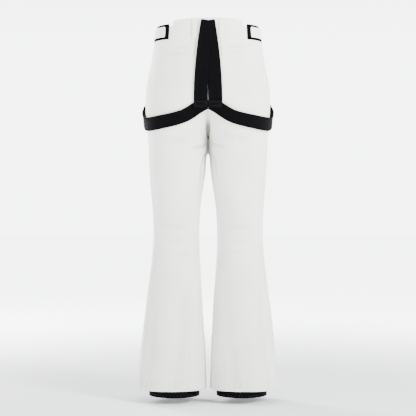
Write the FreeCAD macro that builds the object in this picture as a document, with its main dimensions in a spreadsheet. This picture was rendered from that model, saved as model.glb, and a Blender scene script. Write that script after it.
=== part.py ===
import FreeCAD, Part
import math
import os
import Sketcher
from FreeCAD import Matrix, Placement, Rotation, Vector

# Flared ski pants with detachable elastic braces, standing open as they do on a wearer.
# Millimetres.  +Z up, the front faces -Y, the wearer's left is +X.
# Origin: middle of the waist opening, level with the top edge at the centre back.

doc = FreeCAD.newDocument("ski_pants")
sheet = doc.addObject("Spreadsheet::Sheet", "Sizes")

# ---------------------------------------------------------------- driving dimensions
LENGTHS = {
    "rise": 335.0,            # centre back waist down to the crotch
    "inseam": 702.0,          # crotch down to the hem
    "band_height": 60.0,      # waistband at the centre back
    "hip_drop": 190.0,        # waist down to the widest part of the hip
    "knee_below": 275.0,      # crotch down to the knee
    "thigh_below": 65.0,      # crotch down to the widest free thigh
    "side_dip": 22.0,         # top edge below the centre back, at the side
    "front_dip": 27.0,        # the same at the front
    "cloth": 1.8,             # bonded softshell
    "panel_gap": 0.3,         # clearance between layers that lie on each other
    "band_proud": 0.8,        # the waistband's outer face beyond the panels
    "band_wall": 3.2,         # waistband, folded double
    "facing_wall": 1.2,       # inner facing of the band, and of the hem
    "hem_turn": 30.0,         # depth of the hem facing
    "seam_top_y": 18.0,       # side seam, at the waistband
    "seam_hem_y": 45.0,       # side seam, at the hem
    # legs fold here
    "hip_line_inner": -4.0,   # fold line above the crotch, at the centre
    "hip_line_outer": 140.0,  # and at the outside
    "hip_free": 105.0,        # crotch down to where the thigh moves as one
    "knee_reach": 95.0,       # fabric that bends, above and below the knee
    # snow gaiter
    "gaiter_length": 130.0,
    "gaiter_wall": 1.2,
    "cuff_radius": 72.0,
    "cuff_wall": 1.8,
    "cuff_height": 36.0,
    "cuff_below_hem": 20.0,
    "cuff_centre_x": 95.5,
    "hook_width": 9.0,
    "hook_height": 14.0,
    "hook_wall": 1.4,
    # ankle guard
    "guard_height": 150.0,
    "guard_half_width": 46.0,
    "guard_wall": 1.0,
    # zips
    "tape_width": 26.0,
    "tape_wall": 0.9,
    "coil_width": 5.2,
    "coil_wall": 1.9,
    "slot_play": 0.6,         # each side of the slider, in the slot of the panels
    "fly_length": 118.0,
    "pocket_zip": 106.0,
    "pocket_top": 76.0,
    "zip_inset": 1.9,
    "pocket_seam_gap": 32.0,  # pocket zip in front of the side seam
    "slider_width": 8.4,
    "slider_length": 13.0,
    "slider_wall": 2.6,
    "bridge_width": 3.0,
    "bridge_length": 7.0,
    "bridge_height": 3.4,
    "bridge_wall": 1.0,
    "pull_width": 6.0,
    "pull_length": 30.0,
    "pull_wall": 1.4,
    "pull_hole": 3.4,
    "bag_wall": 1.4,
    "bag_stand": 8.5,         # inside the panels
    "bag_depth": 150.0,
    "bag_width": 80.0,
    # waist fastening
    "tab_overlap": 44.0,
    "tab_root": 15.0,
    "tab_wall": 2.0,
    "snap_radius": 7.5,
    "snap_wall": 2.2,
    "snap_pitch": 17.0,
    "stud_radius": 4.6,
    "adjuster_tip_x": 116.0,
    "adjuster_root_y": -30.0,
    "adjuster_height": 30.0,
    "adjuster_wall": 1.8,
    "patch_tip_x": 107.0,
    "patch_height": 39.0,
    "patch_wall": 0.9,
    "loop_width": 12.0,
    "loop_wall": 1.4,
    "loop_gap": 3.0,
    "loop_back_x": 36.0,
    "loop_front_x": 54.0,
    "hanger_half": 28.0,
    "hanger_wall": 1.2,
    # braces
    "brace_width": 38.0,
    "brace_wall": 1.8,
    "brace_top": 8.0,         # below the waist's top edge
    "brace_fall": 232.0,
    "brace_stand": 2.6,       # the inner strap off the seat
    "brace_spread": 20.2,     # half distance of the straps at the junction
    "brace_lowest": 282.0,    # at the side of the hip
    "side_stand": 8.0,
    "junction_height": 22.0,
    "glide_play": 0.7,        # each side of the strap, inside the glide
    "glide_rail": 3.4,
    "glide_length": 24.0,
    "glide_bar": 5.0,
    "glide_wall": 1.8,
    "glide_slot": 3.0,
    "glide_window_length": 13.0,
    "glide_travel": 44.0,
    "anchor_drop": 34.0,
}

# One oval per level of the left leg: how far it reaches inwards and outwards in x (the
# inner side of the upper ovals lies past the centre plane, where the two halves meet),
# and forwards and backwards in y.
OVALS = {
    "brim": (-137.0, 137.0, -97.0, 102.0),
    "band_seam": (-152.0, 152.0, -104.0, 112.0),
    "high_hip": (-130.0, 162.5, -106.5, 127.0),
    "hip": (-90.0, 174.5, -107.5, 140.0),
    "seat": (-45.0, 175.5, -103.0, 136.0),
    "fork": (-12.0, 172.0, -99.0, 119.0),
    "crotch": (1.0, 169.5, -97.0, 106.0),
    "thigh": (5.5, 167.0, -93.0, 92.0),
    "low_thigh": (18.5, 160.5, -80.0, 76.0),
    "knee": (25.0, 156.3, -69.0, 63.0),
    "calf": (21.5, 164.0, -67.0, 68.0),
    "shin": (15.0, 177.0, -70.0, 74.0),
    "ankle": (9.5, 190.5, -74.0, 80.0),
    "turn_up": (7.0, 197.5, -76.3, 82.4),
    "hem": (5.0, 202.0, -78.0, 84.0),
}
SIDES = ("in", "out", "front", "back")
BRIM_RISE = 12.0        # the lofts run this far above the top edge, and are trimmed
SQUARENESS = 2.2        # exponent of the ovals: 2 is an ellipse
OVAL_POINTS = 20
LOFT_DEGREE = 3
FAR = 600.0             # half size of a cutting block


def fill_sheet():
    row = 1
    named = dict(LENGTHS)
    for level, reach in OVALS.items():
        named.update({f"{level}_{side}": size for side, size in zip(SIDES, reach)})
    for alias, size in named.items():
        sheet.set(f"A{row}", alias)
        sheet.set(f"B{row}", str(size))
        sheet.setAlias(f"B{row}", alias)
        row += 1
    doc.recompute()


fill_sheet()


def size(alias):
    return float(sheet.get(alias))


rise, inseam = size("rise"), size("inseam")
cloth, gap = size("cloth"), size("panel_gap")
band_height = size("band_height")
crotch_z, hem_z = -rise, -rise - inseam
knee_z = crotch_z - size("knee_below")
below_knee = knee_z - hem_z
LEVELS = {
    "brim": BRIM_RISE,
    "band_seam": -band_height,
    "high_hip": -(band_height + size("hip_drop")) / 2,
    "hip": -size("hip_drop"),
    "seat": -size("hip_drop") - 0.41 * (rise - size("hip_drop")),
    "fork": -size("hip_drop") - 0.76 * (rise - size("hip_drop")),
    "crotch": crotch_z,
    "thigh": crotch_z - size("thigh_below"),
    "low_thigh": crotch_z - 0.6 * size("knee_below"),
    "knee": knee_z,
    "calf": knee_z - 0.21 * below_knee,
    "shin": knee_z - 0.45 * below_knee,
    "ankle": knee_z - 0.73 * below_knee,
    "turn_up": hem_z + 1.5 * size("hem_turn"),
    "hem": hem_z,
}


# ---------------------------------------------------------------- the garment's surface
def oval(level, z, grow):
    inner, outer, front, back = (size(f"{level}_{side}") for side in SIDES)
    cx, cy = (inner + outer) / 2, (front + back) / 2
    a, b = (outer - inner) / 2 + grow, (back - front) / 2 + grow
    points = []
    for i in range(OVAL_POINTS):
        t = 2 * math.pi * i / OVAL_POINTS
        c, s = math.cos(t), math.sin(t)
        x = cx + a * math.copysign(abs(c) ** (2 / SQUARENESS), c)
        y = cy + b * math.copysign(abs(s) ** (2 / SQUARENESS), s)
        points.append(Vector(x, y, z))
    curve = Part.BSplineCurve()
    curve.interpolate(points, PeriodicFlag=True)
    return Part.Wire([curve.toShape()])


made_lofts = {}


def leg_loft(grow=0.0):
    """The solid inside the left leg and half seat, grown outwards by grow."""
    if grow not in made_lofts:
        wires = [oval(level, z, grow) for level, z in LEVELS.items()]
        made_lofts[grow] = Part.makeLoft(wires, True, False, False, LOFT_DEGREE)
    return made_lofts[grow]


def block(x=(-FAR, FAR), y=(-FAR, FAR), z=(-2 * FAR, FAR)):
    return Part.makeBox(x[1] - x[0], y[1] - y[0], z[1] - z[0], Vector(x[0], y[0], z[0]))


left_half = block(x=(0, FAR))
made_tubes = {}


def side_face(solid):
    return max(solid.Faces, key=lambda face: face.Area)


def tube(outer, inner):
    """The wall between two growths of the leg, on the left half."""
    if (outer, inner) not in made_tubes:
        faces = [side_face(leg_loft(outer)), side_face(leg_loft(inner))]
        for level in ("brim", "hem"):
            rings = [oval(level, LEVELS[level], grow) for grow in (outer, inner)]
            faces.append(Part.makeFace(Part.makeCompound(rings), "Part::FaceMakerBullseye"))
        shell = Part.makeShell(faces)
        shell.sewShape()
        wall = Part.makeSolid(shell)
        if wall.Volume < 0:
            wall.reverse()
        made_tubes[outer, inner] = wall.common(left_half)
    return made_tubes[outer, inner]


def layer(outer, inner, *bounds):
    """A sheet between two growths of the leg, on the left half, inside each bound."""
    shape = tube(outer, inner)
    for bound in bounds:
        shape = shape.common(bound)
    return shape


def mirrored(shape):
    return shape.mirror(Vector(0, 0, 0), Vector(1, 0, 0))


def hit(start, ray, grow=0.0):
    """Where a ray from inside the left half leaves the garment's surface."""
    line = Part.Line(start, start + ray)
    points, _ = line.intersectCS(side_face(leg_loft(grow)).Surface)
    found = [Vector(p.X, p.Y, p.Z) for p in points]
    return max(found, key=lambda p: (p - start).dot(ray))


def skin_point(z, angle):
    """A point on the left outer surface, seen from the middle of the body at angle
    degrees from straight back, round the left side."""
    middle = Vector(0, (size("band_seam_front") + size("band_seam_back")) / 2, z)
    return hit(middle, outward(angle))


def outward(angle):
    a = math.radians(angle)
    return Vector(math.sin(a), math.cos(a), 0)


def facing(point, grow=0.0):
    """The direction the garment's surface faces at a point on it."""
    surface = side_face(leg_loft(grow)).Surface
    normal = surface.normal(*surface.parameter(point))
    middle = Vector(size("knee_in"), 0, point.z)
    return normal if normal.dot(point - middle) > 0 else -normal


def front_point(x, z, grow=0.0):
    """A point on the left front surface at that x."""
    return hit(Vector(x, 0, z), Vector(0, -1, 0), grow)


def back_point(x, z, grow=0.0):
    return hit(Vector(x, 0, z), Vector(0, 1, 0), grow)


# ---------------------------------------------------------------- cutting blocks
def above_top_edge(lower=0.0):
    """What is above the waist's top edge, which dips at the sides and the front."""
    side, front = -size("side_dip") - lower, -size("front_dip") - lower
    back_y, front_y = size("brim_back"), size("brim_front")
    edge = Part.BSplineCurve()
    edge.interpolate([
        Vector(-FAR, 2 * front_y, front), Vector(-FAR, front_y, front),
        Vector(-FAR, 0, side), Vector(-FAR, 0.68 * back_y, 0.4 * side - 0.6 * lower),
        Vector(-FAR, back_y, -lower), Vector(-FAR, 1.6 * back_y, 4 - lower)])
    start, end = edge.StartPoint, edge.EndPoint
    up = [Vector(-FAR, end.y, FAR), Vector(-FAR, start.y, FAR)]
    sides = [Part.makeLine(a, b) for a, b in zip([end, *up], [*up, start])]
    return Part.Face(Part.Wire([edge.toShape(), *sides])).extrude(Vector(2 * FAR, 0, 0))


def behind_seam():
    """What is behind the side seam, a plane that leans back towards the hem."""
    top, low = size("seam_top_y"), size("seam_hem_y")
    slope = (low - top) / (hem_z + band_height)
    corners = [Vector(-FAR, top + slope * (z + band_height), z) for z in (FAR, -2 * FAR)]
    outline = [*corners, Vector(-FAR, 2 * FAR, -2 * FAR), Vector(-FAR, 2 * FAR, FAR)]
    return Part.Face(Part.makePolygon([*outline, outline[0]])).extrude(Vector(2 * FAR, 0, 0))


def above_hip_line(lower=0.0):
    """What is above the slanted line where the thigh folds on the seat."""
    inner = crotch_z + size("hip_line_inner") - lower
    outer = crotch_z + size("hip_line_outer") - lower
    run = size("hip_out")
    slope = (outer - inner) / run
    corners = [Vector(x, -FAR, inner + slope * x) for x in (-FAR, FAR)]
    outline = [*corners, Vector(FAR, -FAR, 2 * FAR), Vector(-FAR, -FAR, 2 * FAR)]
    return Part.Face(Part.makePolygon([*outline, outline[0]])).extrude(Vector(0, 2 * FAR, 0))


no_top = above_top_edge()
back_side = behind_seam()
seat_zone = above_hip_line()


# ---------------------------------------------------------------- document helpers
finished = []


def keep(feature, label):
    feature.Label = label
    finished.append(feature)
    return feature


def cloth_piece(label, shape):
    """A piece cut from the garment's surface: its shape has no simpler feature."""
    feature = doc.addObject("Part::Feature", label)
    solids = shape.Solids
    feature.Shape = solids[0] if len(solids) == 1 else Part.makeCompound(solids)
    return keep(feature, label)


def both_sides(name, shape):
    cloth_piece(f"left_{name}", shape)
    cloth_piece(f"right_{name}", mirrored(shape))


def frame_at(origin, along, outward):
    """The placement whose local Z runs along, and whose local Y points outward."""
    z = along.normalize()
    y = (outward - z * outward.dot(z)).normalize()
    x = y.cross(z)
    turn = Matrix(x.x, y.x, z.x, origin.x, x.y, y.y, z.y, origin.y, x.z, y.z, z.z, origin.z)
    return Placement(turn)


def mirror_placement(place):
    """The same frame on the right side, for a piece that is itself left-right even."""
    z = place.Rotation.multVec(Vector(0, 0, 1))
    y = place.Rotation.multVec(Vector(0, 1, 0))
    flip = lambda v: Vector(-v.x, v.y, v.z)
    return frame_at(flip(place.Base), flip(z), flip(y))


def origin_plane(body, role):
    return next(f for f in body.Origin.OriginFeatures if f.Role == role)


def new_body(label, place):
    body = doc.addObject("PartDesign::Body", label)
    body.Placement = place
    return keep(body, label)


def rectangle(body, name, plane, width, height, shift=Vector(0, 0, 0)):
    """A centred rectangle whose sides are expressions of the sheet."""
    sketch = body.newObject("Sketcher::SketchObject", name)
    sketch.AttachmentSupport = [(origin_plane(body, plane), "")]
    sketch.MapMode = "FlatFace"
    sketch.AttachmentOffset = Placement(shift, Rotation())
    corners = [Vector(-5, -5, 0), Vector(5, -5, 0), Vector(5, 5, 0), Vector(-5, 5, 0)]
    for a, b in zip(corners, corners[1:] + corners[:1]):
        sketch.addGeometry(Part.LineSegment(a, b), False)
    for i in range(4):
        sketch.addConstraint(Sketcher.Constraint("Coincident", i, 2, (i + 1) % 4, 1))
    for i, kind in enumerate(("Horizontal", "Vertical") * 2):
        sketch.addConstraint(Sketcher.Constraint(kind, i))
    sketch.addConstraint(Sketcher.Constraint("Symmetric", 0, 1, 1, 2, -1, 1))
    for kind, label, text in (("DistanceX", "across", width), ("DistanceY", "tall", height)):
        edge = 0 if kind == "DistanceX" else 1
        number = sketch.addConstraint(Sketcher.Constraint(kind, edge, 1, edge, 2, 10.0))
        sketch.renameConstraint(number, label)
        sketch.setExpression(f"Constraints.{label}", text)
    return sketch


def pad(body, sketch, length, midplane=False, back=False):
    feature = body.newObject("PartDesign::Pad", sketch.Name + "_pad")
    feature.Profile = sketch
    feature.setExpression("Length", length)
    feature.Midplane = midplane
    feature.Reversed = back
    return feature


def pocket(body, sketch, length, midplane=True, back=False):
    feature = body.newObject("PartDesign::Pocket", sketch.Name + "_cut")
    feature.Profile = sketch
    feature.setExpression("Length", length)
    feature.Midplane = midplane
    feature.Reversed = back
    return feature


# ---------------------------------------------------------------- zips
def zip_frame(top, low, grow):
    """The frame of a zip on the straight line from top to low, just inside the cloth:
    local Z runs down the zip, local Y points out of the garment."""
    out = facing(top, grow) + facing(low, grow)
    return frame_at(top, low - top, out if abs(top.x) > 1 else Vector(0, -1, 0))


def zip_slot(place, length):
    """The slot the zip leaves in the panel over it."""
    wide = size("slider_width") + 2 * size("slot_play")
    cut = Part.makeBox(wide, 30, length, Vector(-wide / 2, -6, 0))
    cut.Placement = place
    return cut


def zip_chain(label, place, length):
    """Tape with its closed coil: the tape lies behind the panel, the coil in the slot."""
    body = new_body(label, place)
    tape = rectangle(body, f"{label}_tape", "XY_Plane", "Sizes.tape_width", "Sizes.tape_wall",
                     Vector(0, -size("tape_wall") / 2 - gap, 0))
    pad(body, tape, f"Sizes.{length}")
    coil = rectangle(body, f"{label}_coil", "XY_Plane", "Sizes.coil_width", "Sizes.coil_wall",
                     Vector(0, size("coil_wall") / 2 - gap, 0))
    pad(body, coil, f"Sizes.{length}")
    return body


def on_zip(place, down, out=0.0):
    """A frame further down the zip."""
    return place.multiply(Placement(Vector(0, out, down), Rotation()))


def zip_slider(label, place):
    """Slider: a cap over the coil with a cheek down each side, and a bridge on top that
    the pull hangs in."""
    body = new_body(label, place)
    top = size("coil_wall") - gap
    wall, inside = size("slider_wall"), size("coil_width") + 2 * gap
    cap = rectangle(body, f"{label}_cap", "XY_Plane", "Sizes.slider_width",
                    "Sizes.slider_wall", Vector(0, top + wall / 2 - 0.8, 0))
    pad(body, cap, "Sizes.slider_length")
    groove = rectangle(body, f"{label}_groove", "XY_Plane",
                       "Sizes.coil_width + 2 * Sizes.panel_gap", "Sizes.slider_wall",
                       Vector(0, top + gap - wall / 2, 0))
    pocket(body, groove, "3 * Sizes.slider_length")
    crown = top + wall - 0.8
    bridge = rectangle(body, f"{label}_bridge", "YZ_Plane", "Sizes.bridge_height",
                       "Sizes.bridge_length",
                       Vector(crown + size("bridge_height") / 2, size("slider_length") / 2, 0))
    pad(body, bridge, "Sizes.bridge_width", midplane=True)
    eye = rectangle(body, f"{label}_eye", "YZ_Plane",
                    "Sizes.bridge_height - Sizes.bridge_wall",
                    "Sizes.bridge_length - 2 * Sizes.bridge_wall",
                    Vector(crown + (size("bridge_height") - size("bridge_wall")) / 2,
                           size("slider_length") / 2, 0))
    pocket(body, eye, "2 * Sizes.bridge_width")
    return body


def zip_pull(label, place):
    """Flat pull with a window at its top, hanging in the slider's bridge."""
    body = new_body(label, place)
    blade = rectangle(body, f"{label}_blade", "XZ_Plane", "Sizes.pull_width",
                      "Sizes.pull_length", Vector(0, size("pull_length") / 2, 0))
    pad(body, blade, "Sizes.pull_wall", midplane=True)
    window = rectangle(body, f"{label}_window", "XZ_Plane", "Sizes.pull_hole",
                       "Sizes.pull_hole",
                       Vector(0, 1.3 + size("pull_hole") / 2, 0))
    pocket(body, window, "3 * Sizes.pull_wall")
    return body


# ---------------------------------------------------------------- braces
def strap_section(point, along, facing, width, wall):
    along = Vector(along).normalize()
    out = (facing - along * facing.dot(along)).normalize()
    wide = along.cross(out) * (width / 2)
    thick = out * (wall / 2)
    ring = [point + wide + thick, point - wide + thick, point - wide - thick,
            point + wide - thick]
    return Part.makePolygon([*ring, ring[0]])


def ribbon(stations, width, wall):
    """A flat strap through stations, each a point and the direction it faces."""
    path = Part.BSplineCurve()
    path.interpolate([point for point, facing in stations])
    sections = []
    for point, facing in stations:
        along = path.tangent(path.parameter(point))[0]
        sections.append(strap_section(point, along, facing, width, wall))
    return Part.makeLoft(sections, True, False)


def behind_seat(x, z, stand):
    """A point behind the seat at x, clear of the cloth over the whole strap width."""
    half = size("brace_width") / 2
    reach = max(back_point(abs(abs(x) + d) + 1e-3, z).y for d in (-half, 0, half))
    return Vector(x, reach + stand, z)


def at_side(angle, z, stand):
    """A strap centre beside the hip and the way it faces: clear of the cloth all over
    the strap's width."""
    half = size("brace_width") / 2
    middle = skin_point(z, angle)
    out = facing(middle)
    aside = math.degrees(half / middle.Length)
    around = [skin_point(z + d, angle + e) for d in (-half, 0, half)
              for e in (-aside, 0, aside) if angle + e > 0]
    reach = max((point - middle).dot(out) for point in around)
    return middle + out * (reach + stand), out


# ---------------------------------------------------------------- seat and legs
fold_top = seat_zone
fold_low = crotch_z - size("hip_free")
knee_top, knee_low = knee_z + size("knee_reach"), knee_z - size("knee_reach")
shell = layer(0.0, -cloth).cut(no_top)
below_band = block(z=(-2 * FAR, -band_height))
ZONES = {
    "seat": [below_band, fold_top],
    "hip_fold": [block(z=(fold_low, -band_height)), block().cut(fold_top)],
    "thigh": [block(z=(knee_top, fold_low))],
    "knee_fold": [block(z=(knee_low, knee_top))],
    "shin": [block(z=(hem_z - 1, knee_low))],
}
folding = ("hip_fold", "knee_fold")

zip_grow = -cloth - size("zip_inset")
fly_top = front_point(1e-3, -band_height - gap, zip_grow)
fly_low = front_point(1e-3, -band_height - size("fly_length"), zip_grow)
fly_place = zip_frame(Vector(0, fly_top.y, fly_top.z), Vector(0, fly_low.y, fly_low.z), zip_grow)


def pocket_point(z):
    """Where the pocket zip's line meets the inside of the front panel."""
    y = size("seam_top_y") - size("pocket_seam_gap")
    return hit(Vector(size("knee_in"), y, z), Vector(1, 0, 0), zip_grow)


pocket_top_z = -size("pocket_top")
pocket_place = zip_frame(pocket_point(pocket_top_z),
                         pocket_point(pocket_top_z - size("pocket_zip")), zip_grow)
slots = zip_slot(fly_place, size("fly_length"))
slots = slots.fuse(zip_slot(pocket_place, size("pocket_zip")))

for name, bounds in ZONES.items():
    zone = shell
    for bound in bounds:
        zone = zone.common(bound)
    back = zone.common(back_side)
    front = zone.cut(back_side)
    if name == "seat":
        front = front.cut(slots)
    if name in folding:
        both_sides(name, Part.makeCompound([*back.Solids, *front.Solids]))
    else:
        both_sides(f"{name}_back", back)
        both_sides(f"{name}_front", front)

# ---------------------------------------------------------------- waistband
proud = size("band_proud")
band_in = proud - size("band_wall")
in_band = block(z=(-band_height, FAR)).cut(no_top)
band = layer(proud, band_in, in_band)
band_back = band.common(back_side)
cloth_piece("waistband_back", band_back.fuse(mirrored(band_back)).removeSplitter())
both_sides("waistband_front", band.cut(back_side).cut(block(x=(0, gap + gap))))

loop_far = proud + size("loop_gap") + size("loop_wall")
loop_low = -band_height + 2.0


def belt_loop(x, behind, top):
    """A flat loop over the band, sewn to it at its two ends."""
    half, stitch = size("loop_width") / 2, size("loop_wall") * 3
    strip = [block(x=(x - half, x + half), z=(loop_low, top))]
    strip.append(block(y=(0, FAR)) if behind else block(y=(-FAR, 0)))
    gap_under = layer(proud + size("loop_gap"), proud - 1, *strip)
    gap_under = gap_under.common(block(z=(loop_low + stitch, top - stitch)))
    return layer(loop_far, proud, *strip).cut(gap_under)


back_loop = belt_loop(size("loop_back_x"), True, -3.0)
front_loop = belt_loop(size("loop_front_x"), False, -size("front_dip") - 2.0)
cloth_piece("belt_loops", Part.makeCompound(
    [*back_loop.Solids, *front_loop.Solids,
     *mirrored(back_loop).Solids, *mirrored(front_loop).Solids]))

hanger = layer(band_in, band_in - size("hanger_wall"), block(
    x=(0, size("hanger_half")), y=(0, FAR), z=(-16, -4)))
cloth_piece("hanger_loop", hanger.fuse(mirrored(hanger)).removeSplitter())

# snap tab: sewn to the left front, snapped on the right
tab_in, tab_out = proud + gap, proud + gap + size("tab_wall")
tab_top, tab_low = -size("front_dip") - 4.0, -band_height + 3.0
tab_right = mirrored(layer(tab_out, tab_in, block(
    x=(0, size("tab_overlap")), y=(-FAR, 0), z=(tab_low, tab_top))))
tab_left = layer(tab_out, tab_in, block(
    x=(0, size("tab_root")), y=(-FAR, 0), z=(tab_low, tab_top)))
tab = tab_left.fuse(tab_right).removeSplitter()
snap_z = (tab_top + tab_low) / 2
snap_xs = [-size("snap_pitch"), -2 * size("snap_pitch")]


def on_front(x, z, stand):
    """A frame on the right front: local Z points out of the garment there."""
    spot = front_point(-x, z)
    out = facing(spot)
    place = frame_at(spot + out * stand, out, Vector(0, 0, 1))
    return mirror_placement(place)


def drum(name, place, radius, height):
    """A cylinder along the frame's local Z."""
    part = doc.addObject("Part::Cylinder", name)
    part.setExpression("Radius", radius)
    part.setExpression("Height", height)
    part.Placement = place
    return part


def group(label, members):
    feature = doc.addObject("Part::Compound", label)
    feature.Links = members
    return keep(feature, label)


snap_frames = [on_front(x, snap_z, 0.0) for x in snap_xs]
holes = []
for place in snap_frames:
    hole = Part.makeCylinder(size("stud_radius") + gap, 20)
    hole.Placement = place
    holes.append(hole)
cloth_piece("waist_tab", tab.cut(holes[0]).cut(holes[1]))
group("snap_studs", [
    drum(f"stud_{i}", on_front(x, snap_z, proud + 0.1), "Sizes.stud_radius", "Sizes.tab_wall")
    for i, x in enumerate(snap_xs)])
group("snap_caps", [
    drum(f"snap_cap_{i}", on_front(x, snap_z, tab_out + 0.4), "Sizes.snap_radius",
         "Sizes.snap_wall")
    for i, x in enumerate(snap_xs)])

# ---------------------------------------------------------------- waist adjusters
middle_z = -(band_height + size("side_dip")) / 2
patch_far = proud + size("patch_wall")
patch_half = size("patch_height") / 2
patch_z = middle_z + 1.0
patch = layer(patch_far, proud, block(
    x=(size("patch_tip_x"), FAR), y=(5, FAR), z=(patch_z - patch_half, patch_z + patch_half)))
both_sides("loop_patch", patch.cut(no_top))
pull_half = size("adjuster_height") / 2
strip = [block(x=(size("adjuster_tip_x"), FAR), y=(size("adjuster_root_y"), FAR),
               z=(middle_z - pull_half, middle_z + pull_half))]
pull_in = patch_far + gap
pull = layer(pull_in + size("adjuster_wall"), pull_in, *strip)
root_y = size("adjuster_root_y")
root = layer(pull_in, proud + 0.02, strip[0], block(y=(root_y, root_y + size("tab_root"))))
both_sides("adjuster_tab", pull.fuse(root).cut(no_top))

# ---------------------------------------------------------------- zips and pockets
zip_chain("fly_zip", fly_place, "fly_length")
zip_slider("fly_slider", on_zip(fly_place, size("panel_gap")))
hang = size("bridge_length")
eye_out = size("coil_wall") - gap + size("slider_wall") + size("bridge_wall") / 2 - 0.1
zip_pull("fly_pull", on_zip(fly_place, gap + hang + 0.2, eye_out))
for side, place in (("left", pocket_place), ("right", mirror_placement(pocket_place))):
    zip_chain(f"{side}_pocket_zip", place, "pocket_zip")
    zip_slider(f"{side}_pocket_slider", on_zip(place, gap))
    zip_pull(f"{side}_pocket_pull", on_zip(place, gap + hang + 0.2, eye_out))

bag_out = -size("bag_stand")
bag_y = size("seam_top_y") - size("panel_gap") * 10
bag = layer(bag_out, bag_out - size("bag_wall"), block(
    x=(40, FAR), y=(bag_y - size("bag_width") - 10, bag_y),
    z=(pocket_top_z - size("bag_depth"), pocket_top_z + 6)))
both_sides("pocket_bag", bag)

# ---------------------------------------------------------------- hems and gaiters
lining = -cloth
hem_strip = layer(lining, lining - size("facing_wall"),
                  block(z=(hem_z, hem_z + size("hem_turn"))))
both_sides("hem_facing", hem_strip)

cuff_z = hem_z - size("cuff_below_hem")
cuff_y = (size("hem_front") + size("hem_back")) / 2
cuff_x = size("cuff_centre_x")
cuff_top = cuff_z + size("cuff_height")


def ring(radius, z):
    return Part.Wire([Part.makeCircle(radius, Vector(cuff_x, cuff_y, z))])


def gaiter_funnel(grow):
    top_z = hem_z + size("gaiter_length")
    top = leg_loft(lining + grow).slice(Vector(0, 0, 1), top_z)[0]
    bottom = ring(size("cuff_radius") + grow, cuff_top + gap)
    return Part.makeLoft([top, bottom], True, False)


gaiter = gaiter_funnel(-gap).cut(gaiter_funnel(-gap - size("gaiter_wall")))
both_sides("gaiter", gaiter)


def cuff_ring(label, x):
    place = Placement(Vector(x, cuff_y, cuff_z), Rotation())
    outer = drum(f"{label}_outside", place, "Sizes.cuff_radius", "Sizes.cuff_height")
    inner = doc.addObject("Part::Cylinder", f"{label}_inside")
    inner.setExpression("Radius", "Sizes.cuff_radius - Sizes.cuff_wall")
    inner.setExpression("Height", "Sizes.cuff_height")
    inner.Placement = place
    cut = doc.addObject("Part::Cut", label)
    cut.Base = outer
    cut.Tool = inner
    return keep(cut, label)


def lace_hook(label, x):
    """Hook on the cuff's front: a plate whose lower end turns up again."""
    body = new_body(label, Placement(Vector(x, cuff_y - size("cuff_radius"), cuff_z),
                                     Rotation()))
    wall = size("hook_wall")
    for name, y, tall in (("plate", -wall / 2, "Sizes.hook_height"),
                          ("turn", -2.5 * wall, "Sizes.hook_height / 2")):
        outline = rectangle(body, f"{label}_{name}", "XY_Plane", "Sizes.hook_width",
                            "Sizes.hook_wall", Vector(0, y, 0))
        pad(body, outline, tall)
        if name == "plate":
            floor = rectangle(body, f"{label}_floor", "XY_Plane", "Sizes.hook_width",
                              "3 * Sizes.hook_wall", Vector(0, -1.5 * wall, 0))
            pad(body, floor, "Sizes.hook_wall")
    return body


for side, sign in (("left", 1), ("right", -1)):
    cuff_ring(f"{side}_cuff", sign * cuff_x)
    lace_hook(f"{side}_lace_hook", sign * cuff_x)

guard_y = (size("ankle_front") + size("ankle_back")) / 2
guard_half = size("guard_half_width")
guard = layer(size("guard_wall"), 0.0, block(
    x=(0, cuff_x), y=(guard_y - guard_half, guard_y + guard_half),
    z=(hem_z + 2, hem_z + size("guard_height"))))
both_sides("scuff_guard", guard)

# ---------------------------------------------------------------- braces, placed
brace_w, brace_t = size("brace_width"), size("brace_wall")
stand = size("brace_stand")
spread = size("brace_spread")
fall = size("brace_fall")
start = size("brace_top")
junction_low = fall + size("junction_height")
junction_half = spread + brace_w / 2


def back_strap(lean, extra):
    """From the anchor down into the junction, leaning to its own side."""
    stations = []
    for share in (0.0, 0.25, 0.5, 0.75, 1.0):
        z = -start - share * (fall + 6 - start)
        over = stand + extra * (1 - 0.3 * share ** 6) + brace_t / 2
        stations.append((behind_seat(lean * spread * share, z, over), Vector(0, 1, 0)))
    return ribbon(stations, brace_w, brace_t)


def longest(shape):
    return max(shape.Solids, key=lambda solid: solid.Volume)


reach = max(back_point(x, -z).y for x in (1, spread, junction_half)
            for z in (fall, junction_low))
junction_y = (reach + stand - 0.4, reach + stand + 2 * brace_t + 1.4)
junction = block(x=(-junction_half, junction_half), y=junction_y, z=(-junction_low, -fall))
notch = block(x=(-4, 4), z=(-2 * FAR, -junction_low + 5))
cloth_piece("brace_junction", junction.cut(notch))
taken = block(x=(-junction_half, junction_half), y=(0, FAR), z=(-2 * FAR, -fall))
over_strap = longest(back_strap(1, brace_t + 2 * gap).cut(taken))
under_strap = longest(back_strap(-1, 0.0).cut(taken))
cloth_piece("left_brace_back", over_strap)
cloth_piece("right_brace_back", under_strap)
anchor = layer(stand - 4 * gap, proud, block(
    x=(0, brace_w / 2), y=(0, FAR), z=(-start - size("anchor_drop"), -start)))
cloth_piece("brace_anchor", anchor.fuse(mirrored(anchor)).removeSplitter())

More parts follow.
